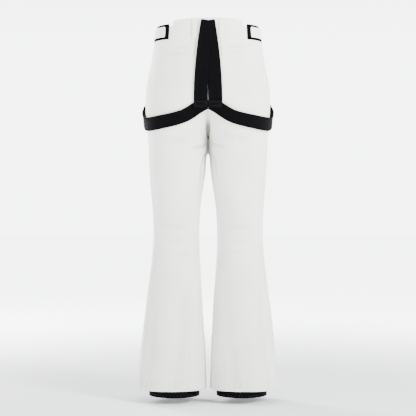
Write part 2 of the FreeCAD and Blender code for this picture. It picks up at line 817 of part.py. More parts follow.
side_stand = size("side_stand")
lowest = size("brace_lowest")
waypoints = [
    (6, fall + 6, stand + 1), (14, junction_low + 2, stand + 1),
    (24, 0.45 * junction_low + 0.55 * lowest, stand + 2),
    (40, lowest - 8, stand + 3), (60, lowest - 2, 0.75 * side_stand),
    (82, lowest + 3, side_stand), (100, lowest - 6, side_stand + 2),
    (114, lowest - 40, side_stand + 2), (124, lowest - 88, side_stand),
]
round_hip = [at_side(a, -z, off + brace_t / 2) for a, z, off in waypoints]
run_start, run_facing = round_hip[-1]
run_end, end_facing = at_side(137, -band_height - 34, side_stand)
run = (run_end - run_start).normalize()
run_facing = run_facing + end_facing
on_band = proud + 2 * gap + brace_t / 2
climb = [(run_end, end_facing), at_side(138, -band_height - 12, stand + 4),
         at_side(139, -band_height + 6, on_band),
         at_side(139, -size("front_dip") - 15, on_band),
         at_side(139, -size("front_dip") - 5, on_band)]


def sections_of(stations, first=None, last=None):
    path = Part.BSplineCurve()
    path.interpolate([point for point, facing in stations])
    made = []
    for point, facing in stations:
        along = path.tangent(path.parameter(point))[0]
        made.append(strap_section(point, along, facing, brace_w, brace_t))
    if first:
        made[0] = first
    if last:
        made[-1] = last
    return made


run_low = strap_section(run_start, run, run_facing, brace_w, brace_t)
run_high = strap_section(run_end, run, run_facing, brace_w, brace_t)
hip_part = Part.makeLoft(sections_of(round_hip, last=run_low), True, False)
straight = Part.makeLoft([run_low, run_high], True, True)
band_part = Part.makeLoft(sections_of(climb, first=run_high), True, False)
snap_spot = skin_point(-size("front_dip") - 15, 139)
snap_out = facing(snap_spot)
snap_place = frame_at(snap_spot + snap_out * (proud + 0.1), snap_out, Vector(0, 0, 1))
snap_hole = Part.makeCylinder(size("stud_radius") + gap, 20)
snap_hole.Placement = snap_place
inner_half = block(x=(0, FAR))
side_strap = hip_part.cut(junction).common(inner_half)
for strap in (over_strap, under_strap):
    side_strap = side_strap.cut(strap).cut(mirrored(strap))
side_strap = longest(longest(side_strap).fuse(straight).fuse(band_part).cut(snap_hole))
both_sides("brace_front", side_strap)

for side, place in (("left", snap_place), ("right", mirror_placement(snap_place))):
    stud = drum(f"{side}_brace_stud", place, "Sizes.stud_radius",
                "Sizes.brace_wall + 5 * Sizes.panel_gap")
    cap_place = on_zip(place, brace_t + 5 * gap)
    cap = drum(f"{side}_brace_cap", cap_place, "Sizes.snap_radius", "Sizes.snap_wall")
    both = doc.addObject("Part::Fuse", f"{side}_brace_snap_parts")
    both.Base = stud
    both.Tool = cap
group("brace_snaps", [doc.getObject(f"{side}_brace_snap_parts") for side in ("left", "right")])


def glide(label, place):
    """Adjuster: a flat frame the strap runs through, open in the middle."""
    body = new_body(label, place)
    outline = rectangle(body, f"{label}_outline", "XY_Plane",
                        "Sizes.brace_width + 2 * Sizes.glide_play + 2 * Sizes.glide_rail",
                        "Sizes.glide_slot + 2 * Sizes.glide_wall")
    pad(body, outline, "Sizes.glide_length")
    channel = rectangle(body, f"{label}_channel", "XY_Plane",
                        "Sizes.brace_width + 2 * Sizes.glide_play",
                        "Sizes.glide_slot")
    pocket(body, channel, "3 * Sizes.glide_length")
    window = rectangle(body, f"{label}_window", "XZ_Plane",
                       "Sizes.brace_width + 2 * Sizes.glide_play - 2 * Sizes.glide_bar",
                       "Sizes.glide_window_length",
                       Vector(0, size("glide_length") / 2, 0))
    pocket(body, window, "6 * Sizes.glide_slot")
    return body


glide_place = frame_at(run_start + run * 8, run, run_facing)
glide("left_glide", glide_place)
glide("right_glide", mirror_placement(glide_place))

# ---------------------------------------------------------------- check and write
doc.recompute()
for thing in doc.Objects:
    broken = [state for state in thing.State if state in ("Invalid", "Error")]
    if broken:
        raise RuntimeError(f"{thing.Label}: {broken}")
os.makedirs("parts", exist_ok=True)
for feature in finished:
    shape = feature.Shape
    if shape.isNull() or not shape.isValid() or not shape.Solids:
        raise RuntimeError(f"{feature.Label} has no sound shape")
    shape.exportStep(f"parts/{feature.Label}.step")
print(f"{len(finished)} pieces written")
for name, place in (("fly", fly_place), ("pocket", pocket_place), ("glide", glide_place)):
    print(name, place.Base, place.Rotation.multVec(Vector(0, 0, 1)),
          place.Rotation.multVec(Vector(0, 1, 0)))
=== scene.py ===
import bpy
import bmesh
import math
import random
import numpy as np
from mathutils import Matrix, Vector, noise
from mathutils.bvhtree import BVHTree


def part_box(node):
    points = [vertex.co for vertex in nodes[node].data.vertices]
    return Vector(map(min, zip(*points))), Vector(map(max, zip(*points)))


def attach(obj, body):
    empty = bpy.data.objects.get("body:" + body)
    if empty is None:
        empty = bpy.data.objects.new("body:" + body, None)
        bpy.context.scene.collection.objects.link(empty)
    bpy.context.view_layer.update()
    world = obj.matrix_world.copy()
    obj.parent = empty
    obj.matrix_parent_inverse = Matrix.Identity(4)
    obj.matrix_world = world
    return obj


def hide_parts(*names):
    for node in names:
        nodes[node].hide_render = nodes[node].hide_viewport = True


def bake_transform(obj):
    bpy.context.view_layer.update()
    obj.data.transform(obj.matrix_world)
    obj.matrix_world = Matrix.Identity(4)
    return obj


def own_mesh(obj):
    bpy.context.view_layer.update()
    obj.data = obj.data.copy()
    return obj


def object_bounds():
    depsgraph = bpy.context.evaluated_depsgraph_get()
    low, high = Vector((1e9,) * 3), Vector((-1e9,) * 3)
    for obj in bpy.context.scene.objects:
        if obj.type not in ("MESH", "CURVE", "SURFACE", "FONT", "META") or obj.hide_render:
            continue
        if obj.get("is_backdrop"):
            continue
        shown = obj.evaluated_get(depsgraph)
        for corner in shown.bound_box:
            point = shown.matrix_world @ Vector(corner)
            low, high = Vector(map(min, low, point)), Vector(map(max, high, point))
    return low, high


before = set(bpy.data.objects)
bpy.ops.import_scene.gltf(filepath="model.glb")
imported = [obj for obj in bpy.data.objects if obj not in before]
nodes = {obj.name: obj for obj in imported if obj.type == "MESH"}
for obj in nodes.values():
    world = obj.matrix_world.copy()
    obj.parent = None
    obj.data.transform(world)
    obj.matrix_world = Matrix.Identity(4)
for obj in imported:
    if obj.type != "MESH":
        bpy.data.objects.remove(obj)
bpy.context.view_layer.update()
mm = 0.001
print("frame loaded")


# the garment's surface, in millimetres: level z, then inner, outer, front, back
girthLevels = [
    (12, -137, 137, -97, 102), (-60, -152, 152, -104, 112), (-125, -130, 162.5, -106.5, 127),
    (-190, -90, 174.5, -107.5, 140), (-249.5, -45, 175.5, -103, 136),
    (-300.2, -12, 172, -99, 119), (-335, 1, 169.5, -97, 106), (-400, 5.5, 167, -93, 92),
    (-500, 18.5, 160.5, -80, 76), (-610, 25, 156.3, -69, 63), (-699.7, 21.5, 164, -67, 68),
    (-802.2, 15, 177, -70, 74), (-921.7, 9.5, 190.5, -74, 80), (-992, 7, 197.5, -76.3, 82.4),
    (-1037, 5, 202, -78, 84),
]
squareness = 2.2
crotchZ, hemZ, bandZ = -335.0, -1037.0, -60.0
splitZ = -505.0
pocketY = -14.0
pocketTop, pocketLow = -76.3, -182.0
flyLow = -178.3
slotHalf = 5.4
clothWall = 1.7


# Second derivatives of the natural cubic through the points.
def naturalSpline(xs, ys):
    n = len(xs)
    a = np.eye(n)
    b = np.zeros(n)
    for i in range(1, n - 1):
        left, right = xs[i] - xs[i - 1], xs[i + 1] - xs[i]
        a[i, i - 1:i + 2] = left / 6, (left + right) / 3, right / 6
        b[i] = (ys[i + 1] - ys[i]) / right - (ys[i] - ys[i - 1]) / left
    return np.linalg.solve(a, b)


levelZ = np.array([-row[0] for row in girthLevels], float)
levelSize = np.array([row[1:] for row in girthLevels], float)
levelBend = np.stack([naturalSpline(levelZ, levelSize[:, k]) for k in range(4)], 1)


# Inner, outer, front and back reach of the left leg at level z.
def reachAt(z):
    d = np.clip(-np.asarray(z, float), levelZ[0], levelZ[-1])
    i = np.clip(np.searchsorted(levelZ, d, side="right") - 1, 0, len(levelZ) - 2)
    wide = (levelZ[i + 1] - levelZ[i])[..., None]
    b = (d - levelZ[i])[..., None] / wide
    a = 1 - b
    bend = (a ** 3 - a) * levelBend[i] + (b ** 3 - b) * levelBend[i + 1]
    return a * levelSize[i] + b * levelSize[i + 1] + bend * wide ** 2 / 6


def ovalAt(z):
    inner, outer, front, back = np.moveaxis(reachAt(z), -1, 0)
    return (inner + outer) / 2, (front + back) / 2, (outer - inner) / 2, (back - front) / 2


def skinXY(z, t, grow=0.0):
    cx, cy, a, b = ovalAt(z)
    power = 2 / squareness
    c, s = np.cos(t), np.sin(t)
    x = cx + (a + grow) * np.sign(c) * np.abs(c) ** power
    y = cy + (b + grow) * np.sign(s) * np.abs(s) ** power
    return x, y


def seamY(z):
    return 18 + 27 * (-60 - z) / 977


# Where the oval meets the centre plane, or the inner tip where it doesn't.
def endAngle(z):
    cx, cy, a, b = ovalAt(z)
    share = max(cx / a, 0.0)
    return math.pi if share >= 1 else math.acos(-(share ** (squareness / 2)))


def seamAngle(z):
    cx, cy, a, b = ovalAt(z)
    rise = (seamY(z) - cy) / b
    return math.asin(math.copysign(abs(rise) ** (squareness / 2), rise))


def smooth(x):
    x = np.clip(x, 0, 1)
    return x * x * (3 - 2 * x)


# The back panel's inner edge: the centre seam, then the inseam, which drifts back.
def backEnd(z):
    if z > crotchZ:
        return endAngle(z)
    return math.pi - seamAngle(z) * float(smooth((crotchZ - z) / 160))


def frontEnd(z):
    return -endAngle(z) if z > crotchZ else backEnd(z) - 2 * math.pi


# Points of one row at the given places, which are callables of the arc's length.
def arcRow(z, start, end, places):
    t = np.linspace(start, end, 360)
    x, y = skinXY(z, t)
    step = np.hypot(np.diff(x), np.diff(y))
    along = np.concatenate([[0], np.cumsum(step)])
    at = places(along[-1], x, y, along)
    return np.interp(at, along, x), np.interp(at, along, y), at


edgeSteps = np.array([0, 0.5, 1.0, 1.6, 2.4, 3.4, 4.7, 6.6, 9.4])


def spread(first, last, count):
    return np.linspace(first, last, count + 1)[1:]


def backPlaces(length, x, y, along):
    middle = spread(edgeSteps[-1], length - edgeSteps[-1], 62)
    return np.concatenate([edgeSteps, middle, (length - edgeSteps[:-1])[::-1]])


def frontPlaces(length, x, y, along):
    half = len(along) // 2
    zipAt = float(np.interp(-pocketY, -y[:half], along[:half]))
    lead = spread(edgeSteps[-1], zipAt - slotHalf - 1.6, 6)
    zipLine = zipAt + np.array([-slotHalf - 0.8, -slotHalf, 0, slotHalf, slotHalf + 0.8, slotHalf + 1.6])
    rest = spread(zipLine[-1], length - edgeSteps[-1], 56)
    return np.concatenate([edgeSteps, lead, zipLine, rest, (length - edgeSteps[:-1])[::-1]])


frontSlot, flyColumns = len(edgeSteps) + 7, 6
backColumns = len(edgeSteps) * 2 - 1 + 62


def rowLevels():
    levels = list(np.arange(bandZ + 2, hemZ, -3.0)) + [hemZ, pocketTop, pocketLow, flyLow, splitZ]
    levels += [hemZ + d for d in (1.0, 2.0, 8.2, 9.0, 9.8, 27.2, 28.0, 28.8)]
    levels = sorted({round(float(v), 2) for v in levels}, reverse=True)
    kept = [levels[0]]
    fixed = {round(v, 2) for v in (hemZ, pocketTop, pocketLow, flyLow, splitZ)}
    for v in levels[1:]:
        if kept[-1] - v > 0.7:
            kept.append(v)
        elif v in fixed:
            kept[-1] = v
    return np.array(kept)


rowZ = rowLevels()


# The left leg's outer surface at rest, every column from centre back round to front.
def restGrid():
    rows = []
    for z in rowZ:
        side = seamAngle(z)
        bx, by, bAt = arcRow(z, backEnd(z), side, backPlaces)
        fx, fy, fAt = arcRow(z, side, frontEnd(z), frontPlaces)
        x = np.concatenate([bx, fx[1:]])
        y = np.concatenate([by, fy[1:]])
        rows.append(np.stack([x, y, np.full_like(x, z), np.concatenate([bAt, bAt[-1] + fAt[1:]])], 1))
    return np.array(rows)


def gridNormals(p, closed):
    across = np.gradient(p, axis=1)
    across[closed, 0] = p[closed, 1] - p[closed, -2]
    across[closed, -1] = across[closed, 0]
    down = np.gradient(p, axis=0)
    n = np.cross(down, across)
    n /= np.maximum(np.linalg.norm(n, axis=2, keepdims=True), 1e-9)
    return n


base = restGrid()
gridArc = base[:, :, 3]
grid = base[:, :, :3].copy()
closedRows = rowZ <= crotchZ
normals = gridNormals(grid, closedRows)
middleX = reachAt(rowZ)[:, :2].mean(1)[:, None]
facing = normals[:, :, 0] * (grid[:, :, 0] - middleX) + normals[:, :, 1] * grid[:, :, 1]
outwards = np.sign(facing.mean())
normals *= outwards
print("rest surface", grid.shape)


# folds: each is a line on the cloth with a width and a height, all in millimetres
def surfaceY(x, z, behind):
    cx, cy, a, b = [float(v) for v in ovalAt(z)]
    share = min(abs((x - cx) / a), 1.0)
    rise = b * (1 - share ** squareness) ** (1 / squareness)
    return cy + rise if behind else cy - rise


folds = {
    "crotch_drag_high": (True, [(4, -338), (26, -352), (60, -357)], 7, -1.2),
    "crotch_drag_low": (True, [(4, -350), (17, -392), (25, -450)], 6, -1.5),
    "crotch_roll": (True, [(4, -345), (12, -374), (17, -414)], 6, 1.5),
    "inner_thigh_pull": (True, [(9, -372), (17, -440), (26, -520)], 7, -1.0),
    "seat_under": (True, [(26, -316), (82, -336), (138, -322)], 17, -1.0),
    "seat_pull": (True, [(14, -262), (46, -284), (96, -290)], 12, -0.8),
    "waist_ripple_a": (True, [(46, -74), (84, -78), (126, -74)], 6, -0.8),
    "waist_ripple_b": (True, [(44, -92), (86, -99), (120, -94)], 8, -0.7),
    "knee_back_a": (True, [(36, -570), (90, -577), (146, -566)], 12, -0.7),
    "knee_back_b": (True, [(34, -604), (92, -613), (146, -603)], 11, -0.6),
    "knee_back_c": (True, [(28, -642), (82, -652), (130, -646)], 13, -0.6),
    "calf_fold_in": (True, [(34, -650), (30, -850), (28, -1036)], 13, 0.9),
    "calf_valley_in": (True, [(56, -640), (62, -850), (86, -1036)], 24, -2.0),
    "calf_fold_mid": (True, [(104, -690), (116, -860), (134, -1036)], 24, 1.0),
    "calf_valley_out": (True, [(140, -740), (152, -880), (166, -1036)], 18, -0.6),
    "calf_fold_out": (True, [(156, -700), (170, -860), (186, -1036)], 14, 0.7),
    "front_crotch_a": (False, [(5, -338), (44, -324), (92, -300)], 9, -1.6),
    "front_crotch_b": (False, [(6, -356), (36, -371), (76, -372)], 8, -1.2),
    "front_crotch_c": (False, [(6, -350), (16, -392), (22, -440)], 7, -1.1),
    "front_knee_a": (False, [(34, -640), (88, -652), (142, -638)], 12, -0.8),
    "front_knee_b": (False, [(40, -588), (92, -580), (140, -590)], 14, 0.8),
    "shin_fold_in": (False, [(58, -680), (48, -860), (36, -1036)], 13, 1.5),
    "shin_valley": (False, [(82, -700), (74, -880), (64, -1036)], 11, -1.5),
    "shin_fold_out": (False, [(122, -690), (136, -860), (152, -1036)], 17, 1.6),
}
foldSpec = {
    "gain": 1.45, "vary": (0.75, 1.15), "shiftX": 3, "shiftZ": 6, "steps": 11,
    "fadeIn": 0.4, "fadeOut": 0.5,
}
wrinkleSpec = {
    "broad": (1.5, (0.014, 0.014, 0.006)), "fine": (0.55, (0.035, 0.035, 0.016)),
    "bandFade": 26, "centreFade": 22, "crotchFade": 12, "calmWide": 16,
}


# A rounded ridge or valley along a line that fades at both ends.
def foldHeight(points, line, width, height):
    nearest = np.full(points.shape[:-1], 1e9)
    fade = np.zeros(points.shape[:-1])
    count = len(line) - 1
    for k in range(count):
        start, run = line[k], line[k + 1] - line[k]
        share = np.clip(((points - start) @ run) / (run @ run), 0, 1)
        away = np.linalg.norm(points - start - share[..., None] * run, axis=-1)
        closer = away < nearest
        nearest = np.where(closer, away, nearest)
        fade = np.where(closer, (k + share) / count, fade)
    ends = smooth(fade / foldSpec["fadeIn"])
    if line[-1][2] > hemZ + 5:
        ends = ends * smooth((1 - fade) / foldSpec["fadeOut"])
    return height * np.exp(-(nearest / width) ** 2) * ends


def noiseField(points, scale, seed):
    flat = points.reshape(-1, 3)
    shift = Vector((seed * 17.3, seed * 5.1, seed * 9.7))
    values = [noise.noise(Vector((x * scale[0], y * scale[1], z * scale[2])) + shift) for x, y, z in flat]
    return np.array(values).reshape(points.shape[:-1])


# How far the cloth stands off its rest surface, for one leg.
def relief(seed):
    rng = random.Random(seed)
    total = np.zeros(grid.shape[:2])
    for behind, line, width, height in folds.values():
        bent = []
        for x, z in line:
            x += rng.uniform(-foldSpec["shiftX"], foldSpec["shiftX"])
            loose = z > hemZ + 5
            bent.append((x, z + rng.uniform(-foldSpec["shiftZ"], foldSpec["shiftZ"]) if loose else z))
        points = []
        for share in np.linspace(0, 1, foldSpec["steps"]):
            a, b, c = (1 - share) * (1 - 2 * share), 4 * share * (1 - share), share * (2 * share - 1)
            x, z = [a * bent[0][k] + b * bent[1][k] + c * bent[2][k] for k in (0, 1)]
            points.append([x, surfaceY(x, z, behind), z])
        high = foldSpec["gain"] * height * rng.uniform(*foldSpec["vary"])
        total += foldHeight(grid, np.array(points), width, high)
    for (high, scale), shift in ((wrinkleSpec["broad"], 0), (wrinkleSpec["fine"], 3)):
        total += high * noiseField(grid, scale, seed + shift)
    x, y, z = np.moveaxis(grid, -1, 0)
    centre = smooth(x / wrinkleSpec["centreFade"])
    crotch = smooth(x / wrinkleSpec["crotchFade"])
    total *= smooth((bandZ - z) / wrinkleSpec["bandFade"])
    total *= np.where(z > crotchZ + 40, centre, np.where(z > crotchZ, crotch, 1.0))
    calm = wrinkleSpec["calmWide"]
    nearZip = np.exp(-((y - pocketY) / calm) ** 2) * (z > pocketLow - 25) * (x > 90)
    nearFly = np.exp(-(x / calm) ** 2) * (z > flyLow - 20) * (y < 0)
    total *= 1 - np.clip(nearZip + nearFly, 0, 1)
    return total + seamRelief(seed)


seamSpec = {
    "side": 1.5, "inner": 1.3, "groove": 1.3, "swell": (0.45, 3.6, 1.9), "pucker": (0.22, 12.5, 7),
    "cleft": (10.0, -322, 40, 9), "dart": (1.1, 33, 4, 60, 2.6),
    "stitched": (0.5, (9, 28), 0.9), "edge": (0.7, 1.2), "hemWave": (0.35, 17, 20, 9),
}


# Grooves along the seams with a slight pucker, the deep centre back and the hem.
def seamRelief(seed):
    z = grid[:, :, 2]
    sideArc = gridArc[:, backColumns - 1][:, None]
    fromSide = np.abs(gridArc - sideArc)
    fromEnd = np.minimum(gridArc, gridArc[:, -1:] - gridArc)
    ease, pitch, puckerWide = seamSpec["pucker"]
    pucker = ease * np.sin(z * 2 * math.pi / pitch + seed) * (0.5 + 0.5 * np.sin(z / 31.0 + seed))
    swell, swellAway, swellWide = seamSpec["swell"]
    total = np.zeros_like(z)
    for away, depth in ((fromSide, seamSpec["side"]), (fromEnd, seamSpec["inner"])):
        total -= depth * np.exp(-(away / seamSpec["groove"]) ** 2)
        total += swell * np.exp(-((away - swellAway) / swellWide) ** 2)
        total += pucker * np.exp(-(away / puckerWide) ** 2)
    isBack = np.arange(grid.shape[1])[None, :] < backColumns
    depth, middle, tall, wide = seamSpec["cleft"]
    cleft = np.exp(-((z - middle) / tall) ** 2) * isBack * (z > crotchZ - 4)
    total -= depth * cleft * np.exp(-(fromEnd / wide) ** 2)
    depth, lines, wide = seamSpec["stitched"]
    for line in lines:
        total -= depth * np.exp(-((z - hemZ - line) / wide) ** 2)
    depth, wide = seamSpec["edge"]
    total -= depth * np.exp(-((z - hemZ) / wide) ** 2)
    high, pitch, middle, tall = seamSpec["hemWave"]
    wave = np.sin(gridArc * 2 * math.pi / pitch + seed)
    total += high * wave * np.exp(-((z - hemZ - middle) / tall) ** 2)
    depth, x, lean, long, wide = seamSpec["dart"]
    down = np.clip((bandZ - z) / long, 0, 1)
    away = grid[:, :, 0] - x - lean * down
    dart = isBack * np.exp(-(away / wide) ** 2) * smooth((1 - down) / 0.3)
    return total - depth * dart * (z > bandZ - long - 6)


# meshes
# An object for a mesh, smooth, with edges beyond the angle in degrees kept sharp.
def shown(name, mesh, paints, sharp=None):
    for paint in paints:
        mesh.materials.append(paint)
    mesh.polygons.foreach_set("use_smooth", np.ones(len(mesh.polygons), bool))
    if sharp:
        mesh.set_sharp_from_angle(angle=math.radians(sharp))
    obj = bpy.data.objects.new(name, mesh)
    bpy.context.scene.collection.objects.link(obj)
    return obj


# An object from a bmesh, which is used up, mirrored for the right side.
def madeFrom(work, name, paints, mirror=False, sharp=None):
    if mirror:
        bmesh.ops.scale(work, vec=(-1, 1, 1), verts=work.verts)
    bmesh.ops.recalc_face_normals(work, faces=work.faces)
    mesh = bpy.data.meshes.new(name)
    work.to_mesh(mesh)
    work.free()
    return shown(name, mesh, paints, sharp)


sheetSharp = 42


# Two surfaces of one cloth as a closed sheet: keep says which cells are there, wraps
# which rows join their last column to the first, rims which open edges are closed.
def sheetMesh(name, outer, inner, flat, keep, wraps, rims, materials, mirror, crease=None):
    rows, columns = outer.shape[:2]
    cellsAll = [(r, c) for r in range(rows) for c in range(columns)]
    flat = {cell: (flat[cell][0] * mm, flat[cell][1] * mm) for cell in cellsAll}
    index = np.arange(rows * columns).reshape(rows, columns)
    index[wraps, -1] = index[wraps, 0]
    verts = np.concatenate([outer.reshape(-1, 3), inner.reshape(-1, 3)]) * mm
    if mirror:
        verts = verts * [-1, 1, 1]
    below = rows * columns
    faces, uvs, slots = [], [], []

    def put(ids, cells, slot):
        faces.append(ids[::-1] if mirror else ids)
        uv = [flat[cell] for cell in cells]
        uvs.extend(uv[::-1] if mirror else uv)
        slots.append(slot)

    for r in range(rows - 1):
        for c in range(columns - 1):
            if not keep[r, c]:
                continue
            cells = [(r, c), (r + 1, c), (r + 1, c + 1), (r, c + 1)]
            ids = [index[cell] for cell in cells]
            put(ids, cells, 0)
            put([i + below for i in ids[::-1]], cells[::-1], 1)
            sides = [((r, c - 1), (0, 1)), ((r + 1, c), (1, 2)),
                     ((r, c + 1), (2, 3)), ((r - 1, c), (3, 0))]
            for (nr, nc), (a, b) in sides:
                inside = 0 <= nr < rows - 1 and 0 <= nc < columns - 1
                if inside and keep[nr, nc]:
                    continue
                if not inside:
                    edge = "top" if nr < 0 else "bottom" if nr >= rows - 1 else "side"
                    if edge not in rims or (edge == "side" and wraps[r] and wraps[r + 1]):
                        continue
                rim = [ids[a], ids[a] + below, ids[b] + below, ids[b]]
                put(rim, [cells[a], cells[a], cells[b], cells[b]], 0)
    mesh = bpy.data.meshes.new(name)
    mesh.from_pydata([tuple(v) for v in verts], [], [tuple(f) for f in faces])
    layer = mesh.uv_layers.new(name="cloth")
    layer.data.foreach_set("uv", np.asarray(uvs, np.float32).ravel())
    mesh.polygons.foreach_set("material_index", np.asarray(slots, np.int32))
    obj = shown(name, mesh, materials, sheetSharp)
    # crease carries the painted shade that darkens the cloth's colour in folds.
    if crease is not None:
        depth = obj.data.attributes.new("crease", "FLOAT", "POINT")
        depth.data.foreach_set("value", np.tile(crease.ravel(), 2).astype(np.float32))
    clean = bmesh.new()
    clean.from_mesh(obj.data)
    loose = [v for v in clean.verts if not v.link_faces]
    bmesh.ops.delete(clean, geom=loose, context="VERTS")
    clean.to_mesh(obj.data)
    clean.free()
    return obj


# A sheet with nothing left out and every edge closed.
def wholeSheet(name, outer, inner, flat, paint, mirror=False):
    rows, columns = outer.shape[:2]
    return sheetMesh(name, outer, inner, flat, np.ones((rows - 1, columns - 1), bool),
                     np.zeros(rows, bool), ("top", "bottom", "side"), paint, mirror)


# materials
# An sRGB hex colour as linear RGBA.
def linear(hexText):
    parts = [int(hexText[i:i + 2], 16) / 255 for i in (1, 3, 5)]
    return (*[c / 12.92 if c <= 0.04045 else ((c + 0.055) / 1.055) ** 2.4 for c in parts], 1.0)


# A small node graph round one Principled shader.
class Shade:

    def __init__(self, name, colour, rough, coords="Object", **sockets):
        self.material = bpy.data.materials.new(name)
        self.material.use_nodes = True
        self.tree = self.material.node_tree
        self.shader = self.tree.nodes["Principled BSDF"]
        self.shader.inputs["Base Color"].default_value = linear(colour)
        self.shader.inputs["Roughness"].default_value = rough
        for socket, value in sockets.items():
            self.shader.inputs[socket.replace("_", " ")].default_value = value
        if coords == "Object":
            self.coords = self.add("ShaderNodeTexCoord").outputs["Object"]
        else:
            chosen = self.add("ShaderNodeUVMap")
            chosen.uv_map = coords
            self.coords = chosen.outputs["UV"]
        self.height = None

    def add(self, kind, **values):
        node = self.tree.nodes.new(kind)
        for key, value in values.items():
            setattr(node, key, value)
        return node

    def link(self, a, b):
        self.tree.links.new(a, b)

    def math(self, operation, a, b=None):
        node = self.add("ShaderNodeMath", operation=operation)
        for socket, value in zip(node.inputs, (a, b)):
            if isinstance(value, (int, float)):
                socket.default_value = value
            elif value is not None:
                self.link(value, socket)
        return node.outputs[0]

    def stretched(self, scale):
        mapping = self.add("ShaderNodeMapping")
        mapping.inputs["Scale"].default_value = scale
        self.link(self.coords, mapping.inputs["Vector"])
        return mapping.outputs["Vector"]

    def noise(self, scale, detail=2.0, stretch=None):
        node = self.add("ShaderNodeTexNoise")
        node.inputs["Scale"].default_value = scale
        node.inputs["Detail"].default_value = detail
        self.link(self.stretched(stretch) if stretch else self.coords, node.inputs["Vector"])
        return node.outputs["Fac"]

    # Ridges every pitch metres along one axis.
    def waves(self, pitch, along, distortion=0.0):
        parts = self.add("ShaderNodeSeparateXYZ")
        self.link(self.coords, parts.inputs["Vector"])
        place = parts.outputs[along]
        if distortion:
            place = self.math("ADD", place, self.math("MULTIPLY", self.noise(300.0), distortion))
        turned = self.math("MULTIPLY", place, 2 * math.pi / pitch)
        return self.math("SINE", turned)

    def tint(self, factor, low, high, between=(0.3, 0.7)):
        ramp = self.add("ShaderNodeValToRGB")
        ramp.color_ramp.elements[0].color = linear(low)
        ramp.color_ramp.elements[1].color = linear(high)
        ramp.color_ramp.elements[0].position, ramp.color_ramp.elements[1].position = between
        self.link(factor, ramp.inputs["Fac"])
        self.link(ramp.outputs["Color"], self.shader.inputs["Base Color"])
        return self

    # Painted shade: the cloth's colour is mixed towards a darker colour down in a fold, as much as its
    # "crease" attribute says.
    def paintShadeInFolds(self, colour):
        depth = self.add("ShaderNodeAttribute", attribute_name="crease")
        mix = self.add("ShaderNodeMix", data_type="RGBA")
        self.link(depth.outputs["Fac"], mix.inputs["Factor"])
        self.link(self.shader.inputs["Base Color"].links[0].from_socket, mix.inputs[6])
        mix.inputs[7].default_value = linear(colour)
        self.link(mix.outputs[2], self.shader.inputs["Base Color"])
        return self

    def rough(self, factor, low, high):
        scaled = self.math("ADD", self.math("MULTIPLY", factor, high - low), low)
        self.link(scaled, self.shader.inputs["Roughness"])
        return self

    def bump(self, height, distance, strength=1.0):
        node = self.add("ShaderNodeBump")
        node.inputs["Strength"].default_value = strength
        node.inputs["Distance"].default_value = distance
        self.link(height, node.inputs["Height"])
        if self.height:
            self.link(self.height, node.inputs["Normal"])
        self.height = node.outputs["Normal"]
        self.link(self.height, self.shader.inputs["Normal"])
        return self


# Fine twill: two thread directions at a real pitch, in metres.
def weave(shade, pitch, depth, lean=0.6):
    across = shade.waves(pitch, "X")
    along = shade.waves(pitch * lean, "Y")
    return shade.bump(shade.math("MULTIPLY", across, along), depth, 0.5)


# Stretch cloth; fold, if given, is the darker colour of painted shade laid into its folds.
def softshell(name, low, high, coords="cloth", fold=None):
    shade = Shade(name, high, 0.8, coords, Sheen_Weight=0.12, Sheen_Roughness=0.45,
                  Specular_IOR_Level=0.2)
    shade.tint(shade.noise(9.0, 3.0), low, high)
    if fold:
        shade.paintShadeInFolds(fold)
    shade.rough(shade.noise(700.0, 2.0), 0.7, 0.84)
    weave(shade, 0.0009, 0.00005)
    return shade.bump(shade.noise(1400.0, 2.0), 0.00004, 0.5).material


# 8F9084 is the colour of the painted shade in the leg cloth's folds.
clothFace = softshell("stretch_softshell", "#D3D6CC", "#DBDCD1", "cloth", "#8F9084")
clothBack = softshell("brushed_tricot", "#C4C7C4", "#CDD0CC")
clothObject = softshell("stretch_softshell_trim", "#D2D5CB", "#DADCD1", "Object")


# The mean of the values round each place, reach rows and columns either way.
def blurred(values, reach):
    for axis in (0, 1):
        total = np.zeros_like(values)
        for shift in range(-reach, reach + 1):
            at = np.clip(np.arange(values.shape[axis]) + shift, 0, values.shape[axis] - 1)
            total += np.take(values, at, axis)
        values = total / (2 * reach + 1)
    return values


# the legs: where the thighs touch, and how much painted shade darkens the cloth's colour in a hollow
touchSpec = {"low": -386, "over": 22, "gap": 0.9, "wide": 26}
paintedShadeSpec = {
    "hollow": (4.0, 6.0), "broad": (9, 9.0, 0.16), "fine": (3, 2.2, 0.3),
    "thigh": (0.75, 9, 25, 20, -440, 90),
}


# How much painted shade each place of a leg gets, from none to one: down in a fold, and on the inner
# thigh below the crotch.
def paintedShadeAt(height, fromTip):
    start, over = paintedShadeSpec["hollow"]
    deep = np.clip(-(height + start) / over, 0, 1)
    for key in ("broad", "fine"):
        reach, over, most = paintedShadeSpec[key]
        deep += np.clip((blurred(height, reach) - height) / over, 0, most)
    most, wide, above, over, low, fade = paintedShadeSpec["thigh"]
    inner = np.exp(-(fromTip / wide) ** 2) * smooth((crotchZ + above - rowZ) / over)[:, None]
    return np.clip(deep + inner * smooth((rowZ - low) / fade)[:, None] * most, 0, 1)


